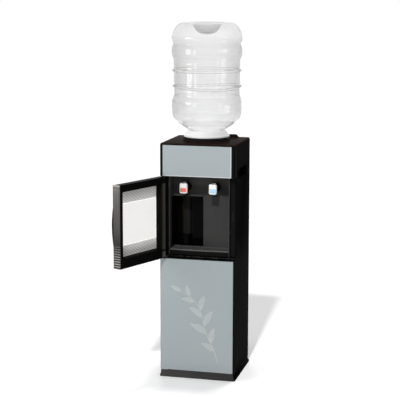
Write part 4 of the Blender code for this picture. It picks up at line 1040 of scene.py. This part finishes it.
def sprig():
    """A branch with slim leaves, printed pale on the lower glass."""
    face = GLASS_LOW.y - 0.00012
    lines, fills = bmesh.new(), bmesh.new()
    stem = curve_through([(0.082, 0.070), (0.070, 0.115), (0.048, 0.160), (0.030, 0.205), (0.022, 0.250),
                          (0.004, 0.292), (-0.026, 0.325), (-0.062, 0.345)], 8)
    stroke(lines, stem, lambda t: 0.0017 - 0.0009 * t, face)
    # Share of the way up the stem, side and length of each leaf
    places = ((0.16, 1, 0.052), (0.24, -1, 0.060), (0.36, 1, 0.066), (0.45, -1, 0.064), (0.57, 1, 0.060),
              (0.66, -1, 0.056), (0.78, 1, 0.048), (0.86, -1, 0.042), (0.985, 0, 0.040))
    bars, stalk, leaf_width, leaf_bend, leaf_lean = 14, 0.006, 0.17, 0.07, 38.0
    for share, side, length in places:
        k = min(int(share * (len(stem) - 1)), len(stem) - 2)
        foot = Vector(stem[k])
        run = (Vector(stem[k + 1]) - foot).normalized()
        lean = math.radians(leaf_lean * side)
        ahead = Vector((run.x * math.cos(lean) - run.y * math.sin(lean),
                        run.x * math.sin(lean) + run.y * math.cos(lean)))
        across = Vector((-ahead.y, ahead.x))
        edges = []
        for flank in (1, -1):
            edge = []
            for n in range(bars + 1):
                t = n / bars
                swell = math.sin(math.pi * t ** 0.85) * length * leaf_width
                bend = math.sin(math.pi * t) * length * leaf_bend * -side
                point = foot + ahead * (stalk + t * length) + across * (flank * swell + bend)
                edge.append(tuple(point))
            edges.append(edge)
            stroke(lines, edge, lambda t: 0.0010, face)
        vein = [tuple((Vector(a) + Vector(b)) / 2) for a, b in zip(*edges)][:-3]
        stroke(lines, [tuple(foot)] + vein, lambda t: 0.0008 - 0.0004 * t, face)
        leaf = edges[0] + edges[1][-2:0:-1]
        loft([[(a, y, b) for a, b in leaf] for y in (face + 0.00005, face + 0.0002)], fills)
    piece("sprig_lines", lines, "storage_door_glass", look=ink("sprig_line_ink", (0.505, 0.500, 0.455)))
    piece("sprig_leaves", fills, "storage_door_glass", look=ink("sprig_leaf_ink", (0.345, 0.372, 0.388), 0.2))


def back_screws():
    """Small domed screws with a cross in their heads, down both sides of the back panel."""
    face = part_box("back_panel")[1].y
    cross_half, cross_reach, cross_depth = 0.00042, 0.0018, 0.0007

    def cross(r, h, angle):
        u, v = abs(r * math.cos(angle)), abs(r * math.sin(angle))
        cut = min(u, v) < cross_half and r < cross_reach and h > 0.0005
        return r, h - (cross_depth if cut else 0.0)

    outline = [(0.0, -0.0004), (0.0030, -0.0004), (0.0034, 0.0003), (0.0031, 0.0009), (0.0024, 0.0014),
               (0.0018, 0.0016), (0.0014, 0.0017), (0.0009, 0.00175), (0.0005, 0.0018), (0.0, 0.0018)]
    from_middle = 0.1345
    for side, label in ((-1, "left"), (1, "right")):
        for k, z in enumerate((0.062, 0.255, 0.455, 0.672, 0.893)):
            bm = revolve(outline, (side * from_middle, face, z), "Y", 32, cross)
            piece(f"back_screw_{label}_{k}", bm, "back_panel", "steel")


# How far the edges of each node are rounded
SOFT_EDGES = {
    "base_plinth": 0.0010, "left_side_panel": 0.0006, "right_side_panel": 0.0006, "back_panel": 0.0003,
    "front_frame": 0.0006, "alcove_liner": 0.0006, "niche_liner": 0.0006, "storage_liner": 0.0006,
    "storage_shelf": 0.0006, "storage_door_frame": 0.0006, "tap_door_frame": 0.0006,
    "tap_door_glass": 0.0006, "tap_door_edge": 0.0004, "tap_door_grip": 0.0010, "door_magnet": 0.0004,
    "drip_tray": 0.0006, "hot_tap_body": 0.0004, "cold_tap_body": 0.0004, "middle_hinge": 0.0002,
    "upper_hinge": 0.0004, "lower_hinge": 0.0002, "power_inlet": 0.0003, "switch_housing": 0.0004,
    "heater_switch": 0.0004, "cooler_switch": 0.0004, "drain_cap": 0.0005, "drain_spigot": 0.0003,
    "feed_probe": 0.0003, "bottle_cap": 0.0003, "reservoir": 0.0003, "reservoir_jacket": 0.0004,
    "hot_tap_nut": 0.0003, "cold_tap_nut": 0.0003, "hot_lever_pin": 0.0002, "cold_lever_pin": 0.0002,
    "hot_tank": 0.0003, "fan_rotor": 0.0002, "fan_housing": 0.0003, "door_strike": 0.0002,
}


def dress_nodes():
    """Every CAD node gets its finish; those that show get rounded edges too."""
    near, lift = 0.0001, 0.0004
    for name, node in NODES.items():
        paint(node, FINISH[SLOT_OF[name]])
    for name, width in SOFT_EDGES.items():
        soft = soften(name, width)
        if SLOT_OF[name] == "window_glass":
            soft.visible_shadow = False
        if name == "tap_door_edge":
            # The strip's foot is lifted clear of the side panel's step, which it meets when shut
            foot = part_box(name)[0].z
            for vertex in soft.data.vertices:
                if vertex.co.z < foot + near:
                    vertex.co.z += lift


make_stage()
make_camera()
dress_nodes()
top_cover()
seat_parts()
bottle()
lever("hot", RED_LABEL)
lever("cold", BLUE_LABEL)
panes()
grid_plate()
door_prints()
sprig()
back_screws()
